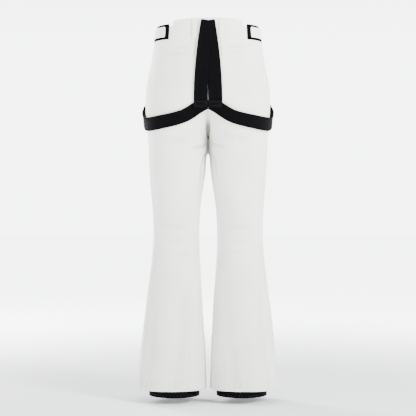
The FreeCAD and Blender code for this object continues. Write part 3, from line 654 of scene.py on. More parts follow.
gridFlat = np.stack([gridArc, grid[:, :, 2]], 2)
legMeshes, legSurface = {}, {}
cut = int(np.argmin(np.abs(rowZ - splitZ)))
for side, seed in (("left", 4), ("right", 11)):
    mirror = side == "right"
    height = relief(seed)
    outer = grid + normals * height[:, :, None]
    tip = outer[:, :, 0].min(1)
    near = np.exp(-((outer[:, :, 0] - tip[:, None]) / touchSpec["wide"]) ** 2)
    touch = closedRows * smooth((rowZ - touchSpec["low"]) / touchSpec["over"])
    outer[:, :, 0] -= (touch * np.maximum(tip + touchSpec["gap"], 0))[:, None] * near
    # deep is painted shade: how much the cloth's colour darkens in folds and on the inner thigh.
    deep = paintedShadeAt(height, outer[:, :, 0] - tip[:, None])
    outer[closedRows, -1] = outer[closedRows, 0]
    openRows = ~closedRows
    for column in (0, -1):
        outer[openRows, column, 0] = 0
    outer[openRows, :, 0] = np.maximum(outer[openRows, :, 0], 0)
    now = gridNormals(outer, closedRows) * outwards
    inner = outer - now * clothWall
    inner[openRows, :, 0] = np.maximum(inner[openRows, :, 0], 0)
    keep = np.ones((len(rowZ) - 1, grid.shape[1] - 1), bool)
    inPocket = (rowZ[:-1] <= pocketTop) & (rowZ[:-1] > pocketLow)
    first = backColumns - 1 + frontSlot
    keep[np.ix_(inPocket, range(first, first + 2))] = False
    lastColumn = grid.shape[1] - 1
    keep[np.ix_(rowZ[:-1] > flyLow, range(lastColumn - flyColumns, lastColumn))] = False
    legSurface[side] = (outer, now)
    for part, low, high, rim in (("upper", 0, cut, "top"), ("lower", cut, len(rowZ) - 1, "bottom")):
        span = slice(low, high + 1)
        obj = sheetMesh(f"{side}_leg_{part}", outer[span], inner[span], gridFlat[span],
                        keep[low:high], closedRows[span], (rim,), (clothFace, clothBack),
                        mirror, deep[span])
        legMeshes[side, part] = obj
print("legs built")


# The cloth over the hip, between seat and thigh: its transform is baked into its mesh.
def bendHip(obj):
    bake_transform(obj)


def bendKnee(obj):
    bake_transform(obj)


for side in ("left", "right"):
    hip, knee = legMeshes[side, "upper"], legMeshes[side, "lower"]
    bendHip(hip)
    bendKnee(knee)
    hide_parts(f"{side}_seat_back", f"{side}_seat_front", f"{side}_hip_fold")
    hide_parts(f"{side}_thigh_back", f"{side}_thigh_front", f"{side}_knee_fold",
                f"{side}_shin_back", f"{side}_shin_front")


# a map of the hips: where the surface is at each level and distance from centre back
mapLevels = np.arange(16.0, -352.0, -2.0)
mapAround = np.arange(0.0, 500.0, 1.0)


def hipMap():
    rows, girths = [], []
    for z in mapLevels:
        end = endAngle(z)
        x, y, _ = arcRow(z, end, -end, lambda length, xs, ys, along: mapAround)
        t = np.linspace(end, -end, 360)
        xs, ys = skinXY(z, t)
        girths.append(np.hypot(np.diff(xs), np.diff(ys)).sum())
        beyond = mapAround > girths[-1]
        x = np.where(beyond, -(mapAround - girths[-1]), x)
        rows.append(np.stack([x, y, np.full_like(x, z)], 1))
    return np.array(rows), np.array(girths)


hipPoints, hipGirth = hipMap()
hipNormals = gridNormals(hipPoints, np.zeros(len(mapLevels), bool))
hipNormals *= np.sign((hipNormals[:, 40:300, 0] * hipPoints[:, 40:300, 0]).mean())


def girthAt(z):
    return np.interp(-np.asarray(z, float), -mapLevels, hipGirth)


def sample(table, z, s):
    r = np.clip((mapLevels[0] - z) / 2.0, 0, len(mapLevels) - 1.001)
    c = np.clip(s, 0, len(mapAround) - 1.001)
    i, j = r.astype(int), c.astype(int)
    a, b = (r - i)[..., None], (c - j)[..., None]
    top = table[i, j] * (1 - b) + table[i, j + 1] * b
    low = table[i + 1, j] * (1 - b) + table[i + 1, j + 1] * b
    return top * (1 - a) + low * a


# Points on the garment at level z and distance s round from centre back, negative on
# the right; stand is how far off the cloth.
def onHip(z, s, stand=0.0):
    z, s = np.broadcast_arrays(np.asarray(z, float), np.asarray(s, float))
    sign = np.where(s < 0, -1.0, 1.0)
    point = sample(hipPoints, z, np.abs(s))
    out = sample(hipNormals, z, np.abs(s))
    out /= np.linalg.norm(out, axis=-1, keepdims=True)
    flip = np.stack([sign, np.ones_like(sign), np.ones_like(sign)], -1)
    return (point + out * np.asarray(stand)[..., None]) * flip, out * flip


# Distance round from centre back to where x or y has a value.
def arcWhere(z, axis, value, front=False):
    row = onHip(z, mapAround)[0]
    inside = mapAround < girthAt(z)
    half, whole = int(np.argmax(np.where(inside, row[:, 0], -1))), int(inside.sum())
    span = slice(0, whole) if axis == 1 else slice(half, whole) if front else slice(0, half + 1)
    k = span.start + int(np.argmin(np.abs(row[span, axis] - value)))
    return float(mapAround[k])


bandTree = {}


# The height of the waist's top edge, found on the CAD band.
def topEdge(s):
    if not bandTree:
        verts, polys = [], []
        for name in ("waistband_back", "left_waistband_front", "right_waistband_front"):
            mesh = nodes[name].data
            shift = len(verts)
            verts += [nodes[name].matrix_world @ v.co for v in mesh.vertices]
            polys += [[i + shift for i in p.vertices] for p in mesh.polygons]
        bandTree["tree"] = BVHTree.FromPolygons(verts, polys)
    spot = onHip(-12.0, min(abs(s), float(girthAt(-12.0)) - 2), -0.8)[0] * mm
    if s < 0:
        spot[0] = -spot[0]
    found = bandTree["tree"].ray_cast(Vector((spot[0], spot[1], 0.05)), Vector((0, 0, -1)))
    return found[0].z / mm if found[0] else -20.0


# Places from first to last, closer together at both ends.
def fine(first, last, step, edge=0.9):
    span = last - first
    lead = [0, 0.16 * edge, 0.45 * edge, edge]
    count = max(2, int(round((span - 2 * edge) / step)))
    middle = list(np.linspace(edge, span - edge, count + 1)[1:])
    return first + np.array(lead + middle + [span - v for v in lead[:3][::-1]])


# How much an edge has fallen at a distance from it.
def rounded(away, radius):
    share = np.clip(away / radius, 0, 1)
    return radius * (1 - np.sqrt(1 - (1 - share) ** 2))


slabStep = 3.0


# A piece of cloth or tape lying on the hips, with soft edges and round corners.
def slab(name, spec, mirror=False, extra=None):
    s0, s1 = spec["around"]
    cols = fine(s0, s1, slabStep)
    lows = np.array([spec["low"](s) if callable(spec["low"]) else spec["low"] for s in cols])
    highs = np.array([spec["high"](s) if callable(spec["high"]) else spec["high"] for s in cols])
    tall = float((highs - lows).mean())
    rows = fine(0.0, tall, slabStep) / tall
    z = highs[None, :] - rows[:, None] * (highs - lows)[None, :]
    s = np.broadcast_to(cols[None, :], z.shape).copy()
    if spec.get("toFront"):
        s = s0 + (s - s0) * (girthAt(z) - 1.0 - s0) / (s1 - s0)
    corner = spec.get("corner", 0.0)
    if corner:
        down = np.minimum(rows, 1 - rows)[:, None] * tall
        bite = rounded(down, corner)
        centre = (s0 + s1) / 2
        s = centre + (s - centre) * (1 - 2 * bite / (s1 - s0))
    inStand, outStand = spec["stand"]
    edge = np.minimum(np.minimum(rows, 1 - rows)[:, None] * tall, np.minimum(cols - s0, s1 - cols))
    fall = rounded(edge, spec["soft"])
    thick = outStand - inStand
    lift = extra(z, s, edge) if extra else 0.0
    outer, _ = onHip(z, s, np.maximum(outStand - fall, inStand + 0.3 * thick) + lift)
    inner, _ = onHip(z, s, inStand + fall * 0.3 + lift)
    return wholeSheet(name, outer, inner, np.stack([s, z], 2), spec["paint"], mirror)


# Faces turned outwards, the piece tied to its body, and the CAD pieces it is seen in place of hidden.
def settle(obj, body, slotName, *stands):
    turned = bmesh.new()
    turned.from_mesh(obj.data)
    bmesh.ops.recalc_face_normals(turned, faces=turned.faces)
    turned.to_mesh(obj.data)
    turned.free()
    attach(obj, body)
    if stands:
        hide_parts(*stands)
    return obj


# materials of the trim
def webbing(name, colour, pitch):
    shade = Shade(name, colour, 0.8, "cloth", Specular_IOR_Level=0.012)
    shade.bump(shade.waves(pitch, "Y", 0.0001), 0.00014, 0.8)
    shade.bump(shade.waves(pitch * 1.7, "X"), 0.00006, 0.6)
    return shade.rough(shade.noise(500.0), 0.55, 0.75).material


def pileFabric(name, low, high):
    shade = Shade(name, high, 0.95, "Object", Specular_IOR_Level=0.01)
    shade.tint(shade.noise(900.0, 3.0), low, high)
    return shade.bump(shade.noise(1500.0, 3.0), 0.0005, 1.0).material


def plainWeave(name, low, high, rough=0.6, gloss=0.3):
    shade = Shade(name, high, rough, "Object", Specular_IOR_Level=gloss)
    shade.tint(shade.noise(40.0, 2.0), low, high)
    return shade.bump(shade.noise(1300.0, 1.0, (1, 1, 0.4)), 0.00008, 0.6).material


def metalFinish(name, colour, rough):
    shade = Shade(name, colour, rough, "Object", Metallic=1.0)
    shade.rough(shade.noise(260.0, 2.0, (1, 1, 8)), rough - 0.06, rough + 0.1)
    return shade.bump(shade.noise(900.0, 2.0, (1, 1, 6)), 0.00002, 0.4).material


def mouldedPlastic(name, low, high, rough=0.45):
    shade = Shade(name, high, rough, "Object", Specular_IOR_Level=0.25)
    shade.tint(shade.noise(60.0), low, high)
    return shade.bump(shade.noise(700.0, 2.0), 0.00003, 0.5).material


blackElastic = webbing("ribbed_elastic", "#050506", 0.0016)
blackPile = pileFabric("hook_and_loop_pile", "#040405", "#080809")
blackNylon = plainWeave("coated_nylon", "#060607", "#0A0A0B", 0.6, 0.15)
gripper = mouldedPlastic("silicone_gripper", "#070708", "#0C0C0D", 0.3)
whiteTape = plainWeave("zip_tape", "#E2E3DF", "#E9EAE6", 0.7)
whiteCoil = mouldedPlastic("nylon_coil", "#DCDDD9", "#E6E7E3", 0.4)
whiteMesh = plainWeave("pocket_mesh", "#D3D5D1", "#DEDFDB", 0.85, 0.2)
steel = metalFinish("brushed_steel", "#707275", 0.36)
acetal = mouldedPlastic("black_acetal", "#060607", "#0A0A0B", 0.4)
whiteThread = plainWeave("white_thread", "#E4E4DE", "#EDEDE7", 0.6)
blackThread = plainWeave("black_thread", "#121214", "#1B1B1E", 0.6)


# waistband and what is sewn to it
bandShape = {"swell": (0.5, 9), "groove": (0.55, 3.2, 0.8), "ripple": (0.35, 6, 8)}


def bandRelief(z, s, edge):
    swell, over = bandShape["swell"]
    depth, away, wide = bandShape["groove"]
    high, middle, tall = bandShape["ripple"]
    groove = depth * np.exp(-((edge - away) / wide) ** 2)
    ripple = high * np.sin(s / 9.0) * np.sin(s / 23.0 + 1)
    ripple *= np.exp(-((z - bandZ - middle) / tall) ** 2)
    return swell * np.clip(edge / over, 0, 1) - groove + ripple


backArc = arcWhere(-40.0, 1, 18.0)
frontArc = float(girthAt(-40.0))
bandBack = {
    "around": (-backArc, backArc), "low": bandZ, "high": topEdge, "stand": (-2.3, 0.9),
    "soft": 1.3, "paint": (clothObject, clothBack),
}
band = slab("waistband_rear", bandBack, extra=bandRelief)
settle(band, "seat", "softshell", "waistband_back")
bandFront = dict(bandBack, around=(backArc + 0.3, frontArc - 1.0), toFront=True)
for side in ("left", "right"):
    piece = slab(f"{side}_waistband", bandFront, side == "right", bandRelief)
    settle(piece, "seat", "softshell", f"{side}_waistband_front")

loopSpec = {
    "low": -59.0, "stand": (0.9, 2.3), "soft": 0.6, "paint": (clothObject, clothObject),
    "half": 6, "bow": 3.4, "flatness": 0.35,
}
loopSets = {
    "rear": (arcWhere(-30.0, 0, 36.0), -1.6), "fore": (arcWhere(-40.0, 0, 54.0, True), -28.4),
}
loopParts = []
for name, (arc, high) in loopSets.items():
    def loopRelief(z, s, edge):
        share = np.clip((z - loopSpec["low"]) / (high - loopSpec["low"]), 0, 1)
        return loopSpec["bow"] * np.clip(np.sin(share * math.pi), 0, 1) ** loopSpec["flatness"]

    spec = dict(loopSpec, around=(arc - loopSpec["half"], arc + loopSpec["half"]), high=high)
    for side in ("left", "right"):
        loopParts.append(slab(f"{side}_{name}_loop", spec, side == "right", loopRelief))
bpy.ops.object.select_all(action="DESELECT")
for part in loopParts:
    part.select_set(True)
bpy.context.view_layer.objects.active = loopParts[0]
bpy.ops.object.join()
loopParts[0].name = "flat_belt_loops"
settle(loopParts[0], "seat", "softshell", "belt_loops")

hangerSpec = {
    "around": (-28, 28), "low": -16.0, "high": -3.0, "stand": (-4.4, -3.2), "soft": 0.5,
    "paint": (whiteTape, whiteTape),
}
settle(slab("hanging_tape", hangerSpec), "seat", "binding", "hanger_loop")

patchSpec = {
    "around": (arcWhere(-41.0, 0, 107.0), arcWhere(-41.0, 1, 6.0)), "low": -57.5, "high": -13.5,
    "stand": (0.9, 2.0), "soft": 0.7, "paint": (blackPile, blackPile),
}
pullTip, pullRoot = arcWhere(-41.0, 0, 118.0), arcWhere(-41.0, 1, -30.0)
pullSpec = {
    "around": (pullTip, pullRoot), "low": -50.5, "high": -21.0, "stand": (2.2, 4.2), "soft": 0.9,
    "corner": 3.0, "paint": (clothObject, clothBack),
    "bow": 0.8, "groove": (0.4, 2.6, 0.7), "root": (1.0, 12),
}


def pullRelief(z, s, edge):
    bow = pullSpec["bow"] * np.sin(np.clip((s - pullTip) / (pullRoot - pullTip), 0, 1) * math.pi * 2.0)
    depth, away, wide = pullSpec["groove"]
    sink, over = pullSpec["root"]
    groove = depth * np.exp(-((edge - away) / wide) ** 2)
    return bow.clip(0) - groove - sink * smooth((s - pullRoot + over) / over)


for side in ("left", "right"):
    mirror = side == "right"
    settle(slab(f"{side}_pile_patch", patchSpec, mirror), "seat", "loop_pile", f"{side}_loop_patch")
    pull = slab(f"{side}_waist_pull", pullSpec, mirror, pullRelief)
    settle(pull, f"{side}_adjuster_tab", "softshell", f"{side}_adjuster_tab")
print("waistband built")


# braces
strapWide, strapThick = 38.0, 1.7
halfStrap = strapWide / 2


# A strap centre beside the hip and its facing, clear of the cloth over its width.
def atSide(angle, z, stand):
    def spot(a, level):
        s = mapAround[mapAround < girthAt(level) - 2.0]
        row, out = onHip(level, s)
        turn = np.degrees(np.arctan2(row[:, 0], row[:, 1] - 4.0))
        k = np.interp(a, turn, np.arange(len(s)))
        i = int(min(k, len(s) - 2))
        f = k - i
        return row[i] * (1 - f) + row[i + 1] * f, out[i] * (1 - f) + out[i + 1] * f
    middle, out = spot(angle, z)
    aside = math.degrees(halfStrap / np.linalg.norm(middle))
    turns = [angle + e for e in (-aside, 0, aside) if angle + e > 0]
    around = [spot(turn, z + d)[0] for d in (-halfStrap, 0, halfStrap) for turn in turns]
    reach = max((p - middle) @ out for p in around)
    return middle + out * (reach + stand), out


def behindSeat(x, z, stand):
    reach = max(surfaceY(abs(abs(x) + d) + 0.001, z, True) for d in (-halfStrap, 0, halfStrap))
    return np.array([x, reach + stand, z]), np.array([0.0, 1.0, 0.0])


# The middle of a CAD piece where the level z cuts it.
def middleAt(name, z):
    verts = [nodes[name].matrix_world @ v.co / mm for v in nodes[name].data.vertices]
    cuts = []
    for edge in nodes[name].data.edges:
        a, b = [verts[i] for i in edge.vertices]
        if (a.z - z) * (b.z - z) < 0:
            cuts.append(a.lerp(b, (z - a.z) / (b.z - a.z)))
    return (np.min(cuts, axis=0) + np.max(cuts, axis=0)) / 2


# Closely spaced points on a smooth curve through the given ones, straight between two
# of them, and how free the strap is to wave at each.
def splineThrough(points, step, straight=None):
    points = np.array(points, float)
    steps = np.linalg.norm(np.diff(points[:, :3], axis=0), axis=1)
    along = np.concatenate([[0], np.cumsum(steps)])
    bend = np.stack([naturalSpline(along, points[:, k]) for k in range(points.shape[1])], 1)
    at = np.linspace(0, along[-1], max(4, int(along[-1] / step)))
    i = np.clip(np.searchsorted(along, at, side="right") - 1, 0, len(along) - 2)
    wide = (along[i + 1] - along[i])[:, None]
    b = (at - along[i])[:, None] / wide
    a = 1 - b
    curve = (a ** 3 - a) * bend[i] + (b ** 3 - b) * bend[i + 1]
    free = np.ones(len(at))
    if straight:
        first, last = straight
        curve[(i >= first) & (i < last)] = 0
        free -= smooth((at - along[first]) / 12 + 1) * smooth((along[last] - at) / 12 + 1)
    return a * points[i] + b * points[i + 1] + curve * wide ** 2 / 6, at, free


strapAcross = fine(-halfStrap, halfStrap, 2.6, 1.2)
strapSpec = {
    "step": 2.4, "soft": 0.7, "selvedge": (0.16, 1.6, 0.8), "rest": 30,
    "waves": ((0.35, 15, 1), (0.3, 8.3, 2)),
}


# Flat elastic through stations of centre and facing, with thicker edges and a slight
# wave along its borders.
def strapMesh(name, stations, mirror, seed, curl=0.0, straight=None):
    stations = [np.concatenate(station) for station in stations]
    path, along, free = splineThrough(stations, strapSpec["step"], straight)
    centre, out = path[:, :3], path[:, 3:]
    run = np.gradient(centre, axis=0)
    run /= np.linalg.norm(run, axis=1, keepdims=True)
    out -= run * (out * run).sum(1, keepdims=True)
    out /= np.linalg.norm(out, axis=1, keepdims=True)
    wide = np.cross(run, out)
    u = strapAcross[None, :]
    edge = halfStrap - np.abs(u)
    fall = rounded(edge, strapSpec["soft"])
    high, away, across = strapSpec["selvedge"]
    selvedge = high * np.exp(-((edge - away) / across) ** 2)
    rest = strapSpec["rest"]
    ends = (free * smooth(along / rest) * smooth((along[-1] - along) / rest))[:, None]
    wave = sum(high * np.sin(along / long + turns * seed) for high, long, turns in strapSpec["waves"])
    lift = (u / halfStrap) ** 2 * wave[:, None] + curl * np.clip(u / halfStrap, 0, 1) ** 2
    shape = centre[:, None] + wide[:, None] * u[..., None]
    body = strapThick / 2 + selvedge - fall
    outer = shape + out[:, None] * (body + ends * lift)[..., None]
    inner = shape - out[:, None] * (body - ends * lift)[..., None]
    flat = np.stack(np.broadcast_arrays(u + 0 * along[:, None], along[:, None] + 0 * u), 2)
    return wholeSheet(name, outer, inner, flat, (blackElastic, blackElastic), mirror)


# the two straps down the back: the left lies over the right
rearSpec = {
    "top": -8, "fall": 230.0, "share": 0.985, "stations": 9, "stand": 3.5, "spread": 20.2,
    "over": strapThick + 0.7, "ease": 0.3,
}
for side, lean, extra in (("left", 1, rearSpec["over"]), ("right", -1, 0.0)):
    stations = []
    for share in np.linspace(0, rearSpec["share"], rearSpec["stations"]):
        aside = lean * rearSpec["spread"] * (1 - (1 - share) ** 2)
        over = rearSpec["stand"] + extra * (1 - rearSpec["ease"] * share ** 6)
        stations.append(behindSeat(aside, rearSpec["top"] - share * rearSpec["fall"], over))
    strap = strapMesh(f"{side}_rear_strap", stations, False, 1 + lean)
    settle(strap, "seat", "elastic", f"{side}_brace_back")

# the side straps: angle round from the back, height and clearance, then the straight run
# that the glide slides on, then the front waistband
sideSpec = {
    "round": [(4, -237, 5.3), (14, -251, 4.5), (24, -267, 5.5), (40, -282, 6.5), (56, -290, 6.9),
              (70, -291, 7.9), (83, -281, 8.9), (95, -264, 9.9), (105, -244, 9.9),
              (115, -220, 9.9), (124, -194, 8.9)],
    "run": (137, -94, 8.0), "runSeen": (-180.0, -120.0), "runParts": 5,
    "band": [(138, -72, 4.0), (139, -54, 2.4), (139, -42, 2.4), (139, -32.5, 2.4)],
    "curl": 1.6,
}
sideStations = [atSide(*station) for station in sideSpec["round"]]
runFirst = len(sideStations) - 1
runOut, runEndOut = sideStations[-1][1], atSide(*sideSpec["run"])[1]
runFacing = (runOut + runEndOut) / np.linalg.norm(runOut + runEndOut)
seenLow, seenHigh = [middleAt("left_brace_front", z) for z in sideSpec["runSeen"]]
runLine = (seenHigh - seenLow) / (seenHigh[2] - seenLow[2])
runTop, runBottom = atSide(*sideSpec["run"])[0][2], sideStations[-1][0][2]
runStart, runEnd = [seenLow + runLine * (z - seenLow[2]) for z in (runBottom, runTop)]
sideStations[-1] = (runStart, runFacing)
for part in range(1, sideSpec["runParts"] + 1):
    share = part / sideSpec["runParts"]
    sideStations.append((runStart + (runEnd - runStart) * share, runFacing))
sideStations += [atSide(*station) for station in sideSpec["band"]]
for side in ("left", "right"):
    strap = strapMesh(f"{side}_side_strap", sideStations, side == "right", 3.0 + len(side),
                      sideSpec["curl"], (runFirst, runFirst + sideSpec["runParts"]))
    settle(strap, "seat", "elastic", f"{side}_brace_front")

crossLow, crossHigh = [[v / mm for v in corner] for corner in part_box("brace_junction")]
crossSpec = {
    "step": (2.0, 1.4), "soft": 1.6, "notch": (1.5, 4.0), "seam": (0.5, 3.4, 0.7),
    "bulge": (0.5, 8), "crease": (0.7, 1.1), "inset": 0.6,
}


# Cross-piece of folded elastic over the four strap ends, notched below.
def crossMesh():
    across = fine(crossLow[0], crossHigh[0], *crossSpec["step"])
    rows = fine(0, crossHigh[2] - crossLow[2], *crossSpec["step"])
    u, v = np.meshgrid(across, crossHigh[2] - rows)
    edge = np.minimum(np.minimum(u - crossLow[0], crossHigh[0] - u),
                      np.minimum(crossHigh[2] - v, v - crossLow[2]))
    fall = rounded(edge, crossSpec["soft"])
    high, wide = crossSpec["notch"]
    fromTop = (crossHigh[2] - v) / (crossHigh[2] - crossLow[2])
    z = v + high * np.exp(-(u / wide) ** 2) * fromTop ** 3
    depth, away, wide = crossSpec["seam"]
    face = crossHigh[1] - crossSpec["inset"] - fall - depth * np.exp(-((edge - away) / wide) ** 2)
    high, over = crossSpec["bulge"]
    depth, wide = crossSpec["crease"]
    face += high * np.clip(edge / over, 0, 1) - depth * np.exp(-(u / wide) ** 2)
    outer = np.stack([u, face, z], 2)
    inner = np.stack([u, crossLow[1] + 0.4 * fall, z], 2)
    return wholeSheet("brace_crosspiece", outer, inner, np.stack([v, u], 2),
                      (blackElastic, blackElastic))


settle(crossMesh(), "seat", "elastic", "brace_junction")
anchorSpec = {
    "around": (-halfStrap, halfStrap), "low": -42.0, "high": -8.0, "stand": (0.9, 1.9),
    "soft": 0.5, "paint": (blackElastic, blackElastic),
}
settle(slab("brace_anchor_patch", anchorSpec), "seat", "elastic", "brace_anchor")
print("braces built")


# small hardware
copySpec = {"merge": 1e-6, "flat": 2, "bend": 35, "steps": 3, "sharp": 50}


# A merged copy of the CAD piece with its edges broken.
def softCopy(name, paint, radius):
    work = bmesh.new()
    work.from_mesh(nodes[name].data)
    bmesh.ops.transform(work, matrix=nodes[name].matrix_world, verts=work.verts)
    bmesh.ops.remove_doubles(work, verts=work.verts, dist=copySpec["merge"])
    bmesh.ops.dissolve_limit(work, angle_limit=math.radians(copySpec["flat"]), verts=work.verts,
                             edges=work.edges)
    bend = math.radians(copySpec["bend"])
    sharp = [e for e in work.edges if len(e.link_faces) == 2 and e.calc_face_angle(0) > bend]
    bmesh.ops.bevel(work, geom=sharp, offset=radius * mm, affect="EDGES",
                    segments=copySpec["steps"], profile=0.5, material=-1, clamp_overlap=True)
    return madeFrom(work, f"{name}_finished", (paint,), sharp=copySpec["sharp"])


# finish, edge radius, body and material slot of each
hardware = {
    "snap_caps": (steel, 0.9, "waist_tab", "metal"), "snap_studs": (steel, 0.4, "seat", "metal"),
    "brace_snaps": (steel, 0.8, "seat", "metal"),
    "fly_slider": (steel, 0.45, "fly_slider", "metal"), "fly_pull": (steel, 0.4, "fly_pull", "metal"),
}
for side in ("left", "right"):
    hardware[f"{side}_pocket_slider"] = (steel, 0.45, f"{side}_pocket_slider", "metal")
    hardware[f"{side}_pocket_pull"] = (steel, 0.4, f"{side}_pocket_pull", "metal")
    hardware[f"{side}_glide"] = (acetal, 0.5, f"{side}_glide", "acetal")
    hardware[f"{side}_lace_hook"] = (steel, 0.35, f"{side}_cuff", "metal")
hardware["waist_tab"] = (clothObject, 0.6, "waist_tab", "softshell")
for name, (paint, radius, body, slotName) in hardware.items():
    settle(softCopy(name, paint, radius), body, slotName, name)
for side in ("left", "right"):
    for name, paint in ((f"{side}_pocket_bag", whiteMesh), (f"{side}_hem_facing", whiteTape)):
        nodes[name].data.materials.clear()
        nodes[name].data.materials.append(paint)
print("hardware finished")


# zips
zipSpec = {
    "tape": 26.0, "wall": 0.9, "gap": 0.3, "soft": 0.3, "sharp": 40,
    "tooth": (3.2, 1.9, 1.425), "pitch": 1.6, "aside": 0.95, "proud": 0.05,
    "rail": (2.2, 0.8, 1.1),
}
zipPlaces = {
    "fly": ((0, -100.288, -60.3), (0, -0.0046, -1), (0, -1, 0.0046), 118),
    "pocket": ((146.893, -14, -76), (0.18648, 0, -0.98246), (0.96664, -0.17875, 0.18348), 106),
}


# A woven tape with two rows of interlocked coil, from its top end down along the cloth.
def zipMesh(name, place, mirror=False):
    base, down, out, length = place
    down, out = Vector(down).normalized(), Vector(out).normalized()
    turn = Matrix((out.cross(down), out, down)).transposed().to_4x4()
    work = bmesh.new()

    def bar(aside, wide, low, tall):
        made = bmesh.ops.create_cube(work, size=1.0)["verts"]
        for v in made:
            across, deep = aside + v.co.x * wide, low + (v.co.y + 0.5) * tall
            v.co = Vector((across, deep, (v.co.z + 0.5) * length)) * mm
        return made

    tape = bar(0, zipSpec["tape"], -zipSpec["gap"] - zipSpec["wall"], zipSpec["wall"])
    edges = list({e for v in tape for e in v.link_edges})
    bmesh.ops.bevel(work, geom=edges, offset=zipSpec["soft"] * mm, affect="EDGES", segments=2,
                    profile=0.5, material=-1)
    count = int(length / zipSpec["pitch"])
    high = -zipSpec["gap"] + zipSpec["tooth"][1] / 2 + zipSpec["proud"]
    for k in range(count):
        aside = zipSpec["aside"] if k % 2 else -zipSpec["aside"]
        spot = Matrix.Translation(Vector((aside, high, (k + 0.5) * length / count)) * mm)
        size = Matrix.Diagonal((*zipSpec["tooth"], 1))
        ball = bmesh.ops.create_uvsphere(work, u_segments=6, v_segments=4, radius=0.5 * mm,
                                         matrix=spot @ size)
        for face in {face for v in ball["verts"] for face in v.link_faces}:
            face.material_index = 1
    aside, wide, tall = zipSpec["rail"]
    for sign in (-1, 1):
        bar(sign * aside, wide, -zipSpec["gap"], tall)
    bmesh.ops.transform(work, matrix=Matrix.Translation(Vector(base) * mm) @ turn, verts=work.verts)
    return madeFrom(work, name, (whiteTape, whiteCoil), mirror, zipSpec["sharp"])


settle(zipMesh("fly_coil_zip", zipPlaces["fly"]), "seat", "zip", "fly_zip")
for side in ("left", "right"):
    coil = zipMesh(f"{side}_coil_zip", zipPlaces["pocket"], side == "right")
    settle(coil, "seat", "zip", f"{side}_pocket_zip")
print("zips built")


# things sewn to the legs follow their folds
# Surface points, normals and distances round the leg at one level, as two turns.
def legRow(side, z):
    outer, now = legSurface[side]
    k = float(np.clip(np.interp(-z, -rowZ, np.arange(len(rowZ))), 0, len(rowZ) - 1.001))
    i, f = int(k), k - int(k)
    points = outer[i] * (1 - f) + outer[i + 1] * f
    out = now[i] * (1 - f) + now[i + 1] * f
    arcs = gridArc[i] * (1 - f) + gridArc[i + 1] * f
    total = arcs[-1]
    far = np.concatenate([arcs[:-1] - total, arcs[:-1], arcs + total])
    points, out = [np.concatenate([table[:-1], table[:-1], table]) for table in (points, out)]
    return points, out, far, total


def onLeg(side, z, s, stand=0.0):
    points, out, arcs, total = legRow(side, z)
    spot = np.stack([np.interp(s, arcs, points[:, k]) for k in range(3)], -1)
    face = np.stack([np.interp(s, arcs, out[:, k]) for k in range(3)], -1)
    face /= np.maximum(np.linalg.norm(face, axis=-1, keepdims=True), 1e-9)
    return spot + face * np.asarray(stand)[..., None], face


guardSpec = {
    "low": -1035.0, "high": -887.0, "reach": 46.0, "wall": 0.9, "step": 3.0, "soft": 0.7,
    "seam": (0.35, 2.6, 0.7), "stand": (-0.2, 0.25), "middle": 0.2,
}
guardTall = guardSpec["high"] - guardSpec["low"]
for side in ("left", "right"):
    rows = fine(0, guardTall, guardSpec["step"])
    cols = fine(-guardSpec["reach"], guardSpec["reach"], guardSpec["step"])
    under, over = guardSpec["stand"]
    depth, away, wide = guardSpec["seam"]
    outer, inner = [], []
    for d in rows:
        edge = np.minimum(min(d, guardTall - d), guardSpec["reach"] - np.abs(cols))
        fall = rounded(edge, guardSpec["soft"]) + depth * np.exp(-((edge - away) / wide) ** 2)
        level = guardSpec["high"] - d
        outer.append(onLeg(side, level, cols, over + guardSpec["wall"] - fall)[0])
        inner.append(onLeg(side, level, cols, under + 0 * cols)[0])
    outer, inner = np.array(outer), np.array(inner)
    outer[:, :, 0] = np.maximum(outer[:, :, 0], guardSpec["middle"])
    flat = np.stack(np.broadcast_arrays(cols[None, :], -rows[:, None]), 2)
    guard = wholeSheet(f"{side}_ankle_patch", outer, inner, flat, (clothObject, clothObject),
                       side == "right")
    settle(guard, f"{side}_shin", "gaiter_nylon", f"{side}_scuff_guard")


# snow gaiter and its cuff
gaiterSpec = {
    "top": -907.4, "low": -1020.4, "radius": 71.3, "wall": 0.7, "centre": (95.5, 3.0), "inset": 4.2,
    "rows": 42, "pleats": (1.1, 44, 0.93, 0.6), "droop": (1.82, 9, 4), "keep": 0.47,
}
cuffSpec = {
    "top": -1021.2, "low": -1056.8, "radius": 71.4, "wall": 1.7, "step": 1.6, "soft": 0.7,
    "bead": (0.35, 1.6, 1.0), "gather": (0.28, 44, 5), "slack": (0.5, 5, 13),
}


# Points round the gaiter at level z, from the leg's own outline down to the cuff's ring.
def gaiterAt(z, turn, grow):
    share = (gaiterSpec["top"] - z) / (gaiterSpec["top"] - gaiterSpec["low"])
    topX, topY = skinXY(gaiterSpec["top"], turn, grow - gaiterSpec["inset"])
    c, s = np.cos(turn), np.sin(turn)
    high, pleats, end, ease = gaiterSpec["pleats"]
    gather = high * share ** 1.5 * np.sin(turn * pleats) * (1 - smooth((share - end) / (1 - end)) * ease)
    radius = gaiterSpec["radius"] + grow + gather
    cx, cy = gaiterSpec["centre"]
    high, around, twist = gaiterSpec["droop"]
    droop = high * math.sin(share * math.pi) * np.sin(turn * around + twist * share)
    way = share ** 1.25
    x = topX * (1 - way) + (cx + radius * c) * way + droop * c
    y = topY * (1 - way) + (cy + radius * s) * way + droop * s
    return np.stack([x, y, np.full_like(x, z)], 1)


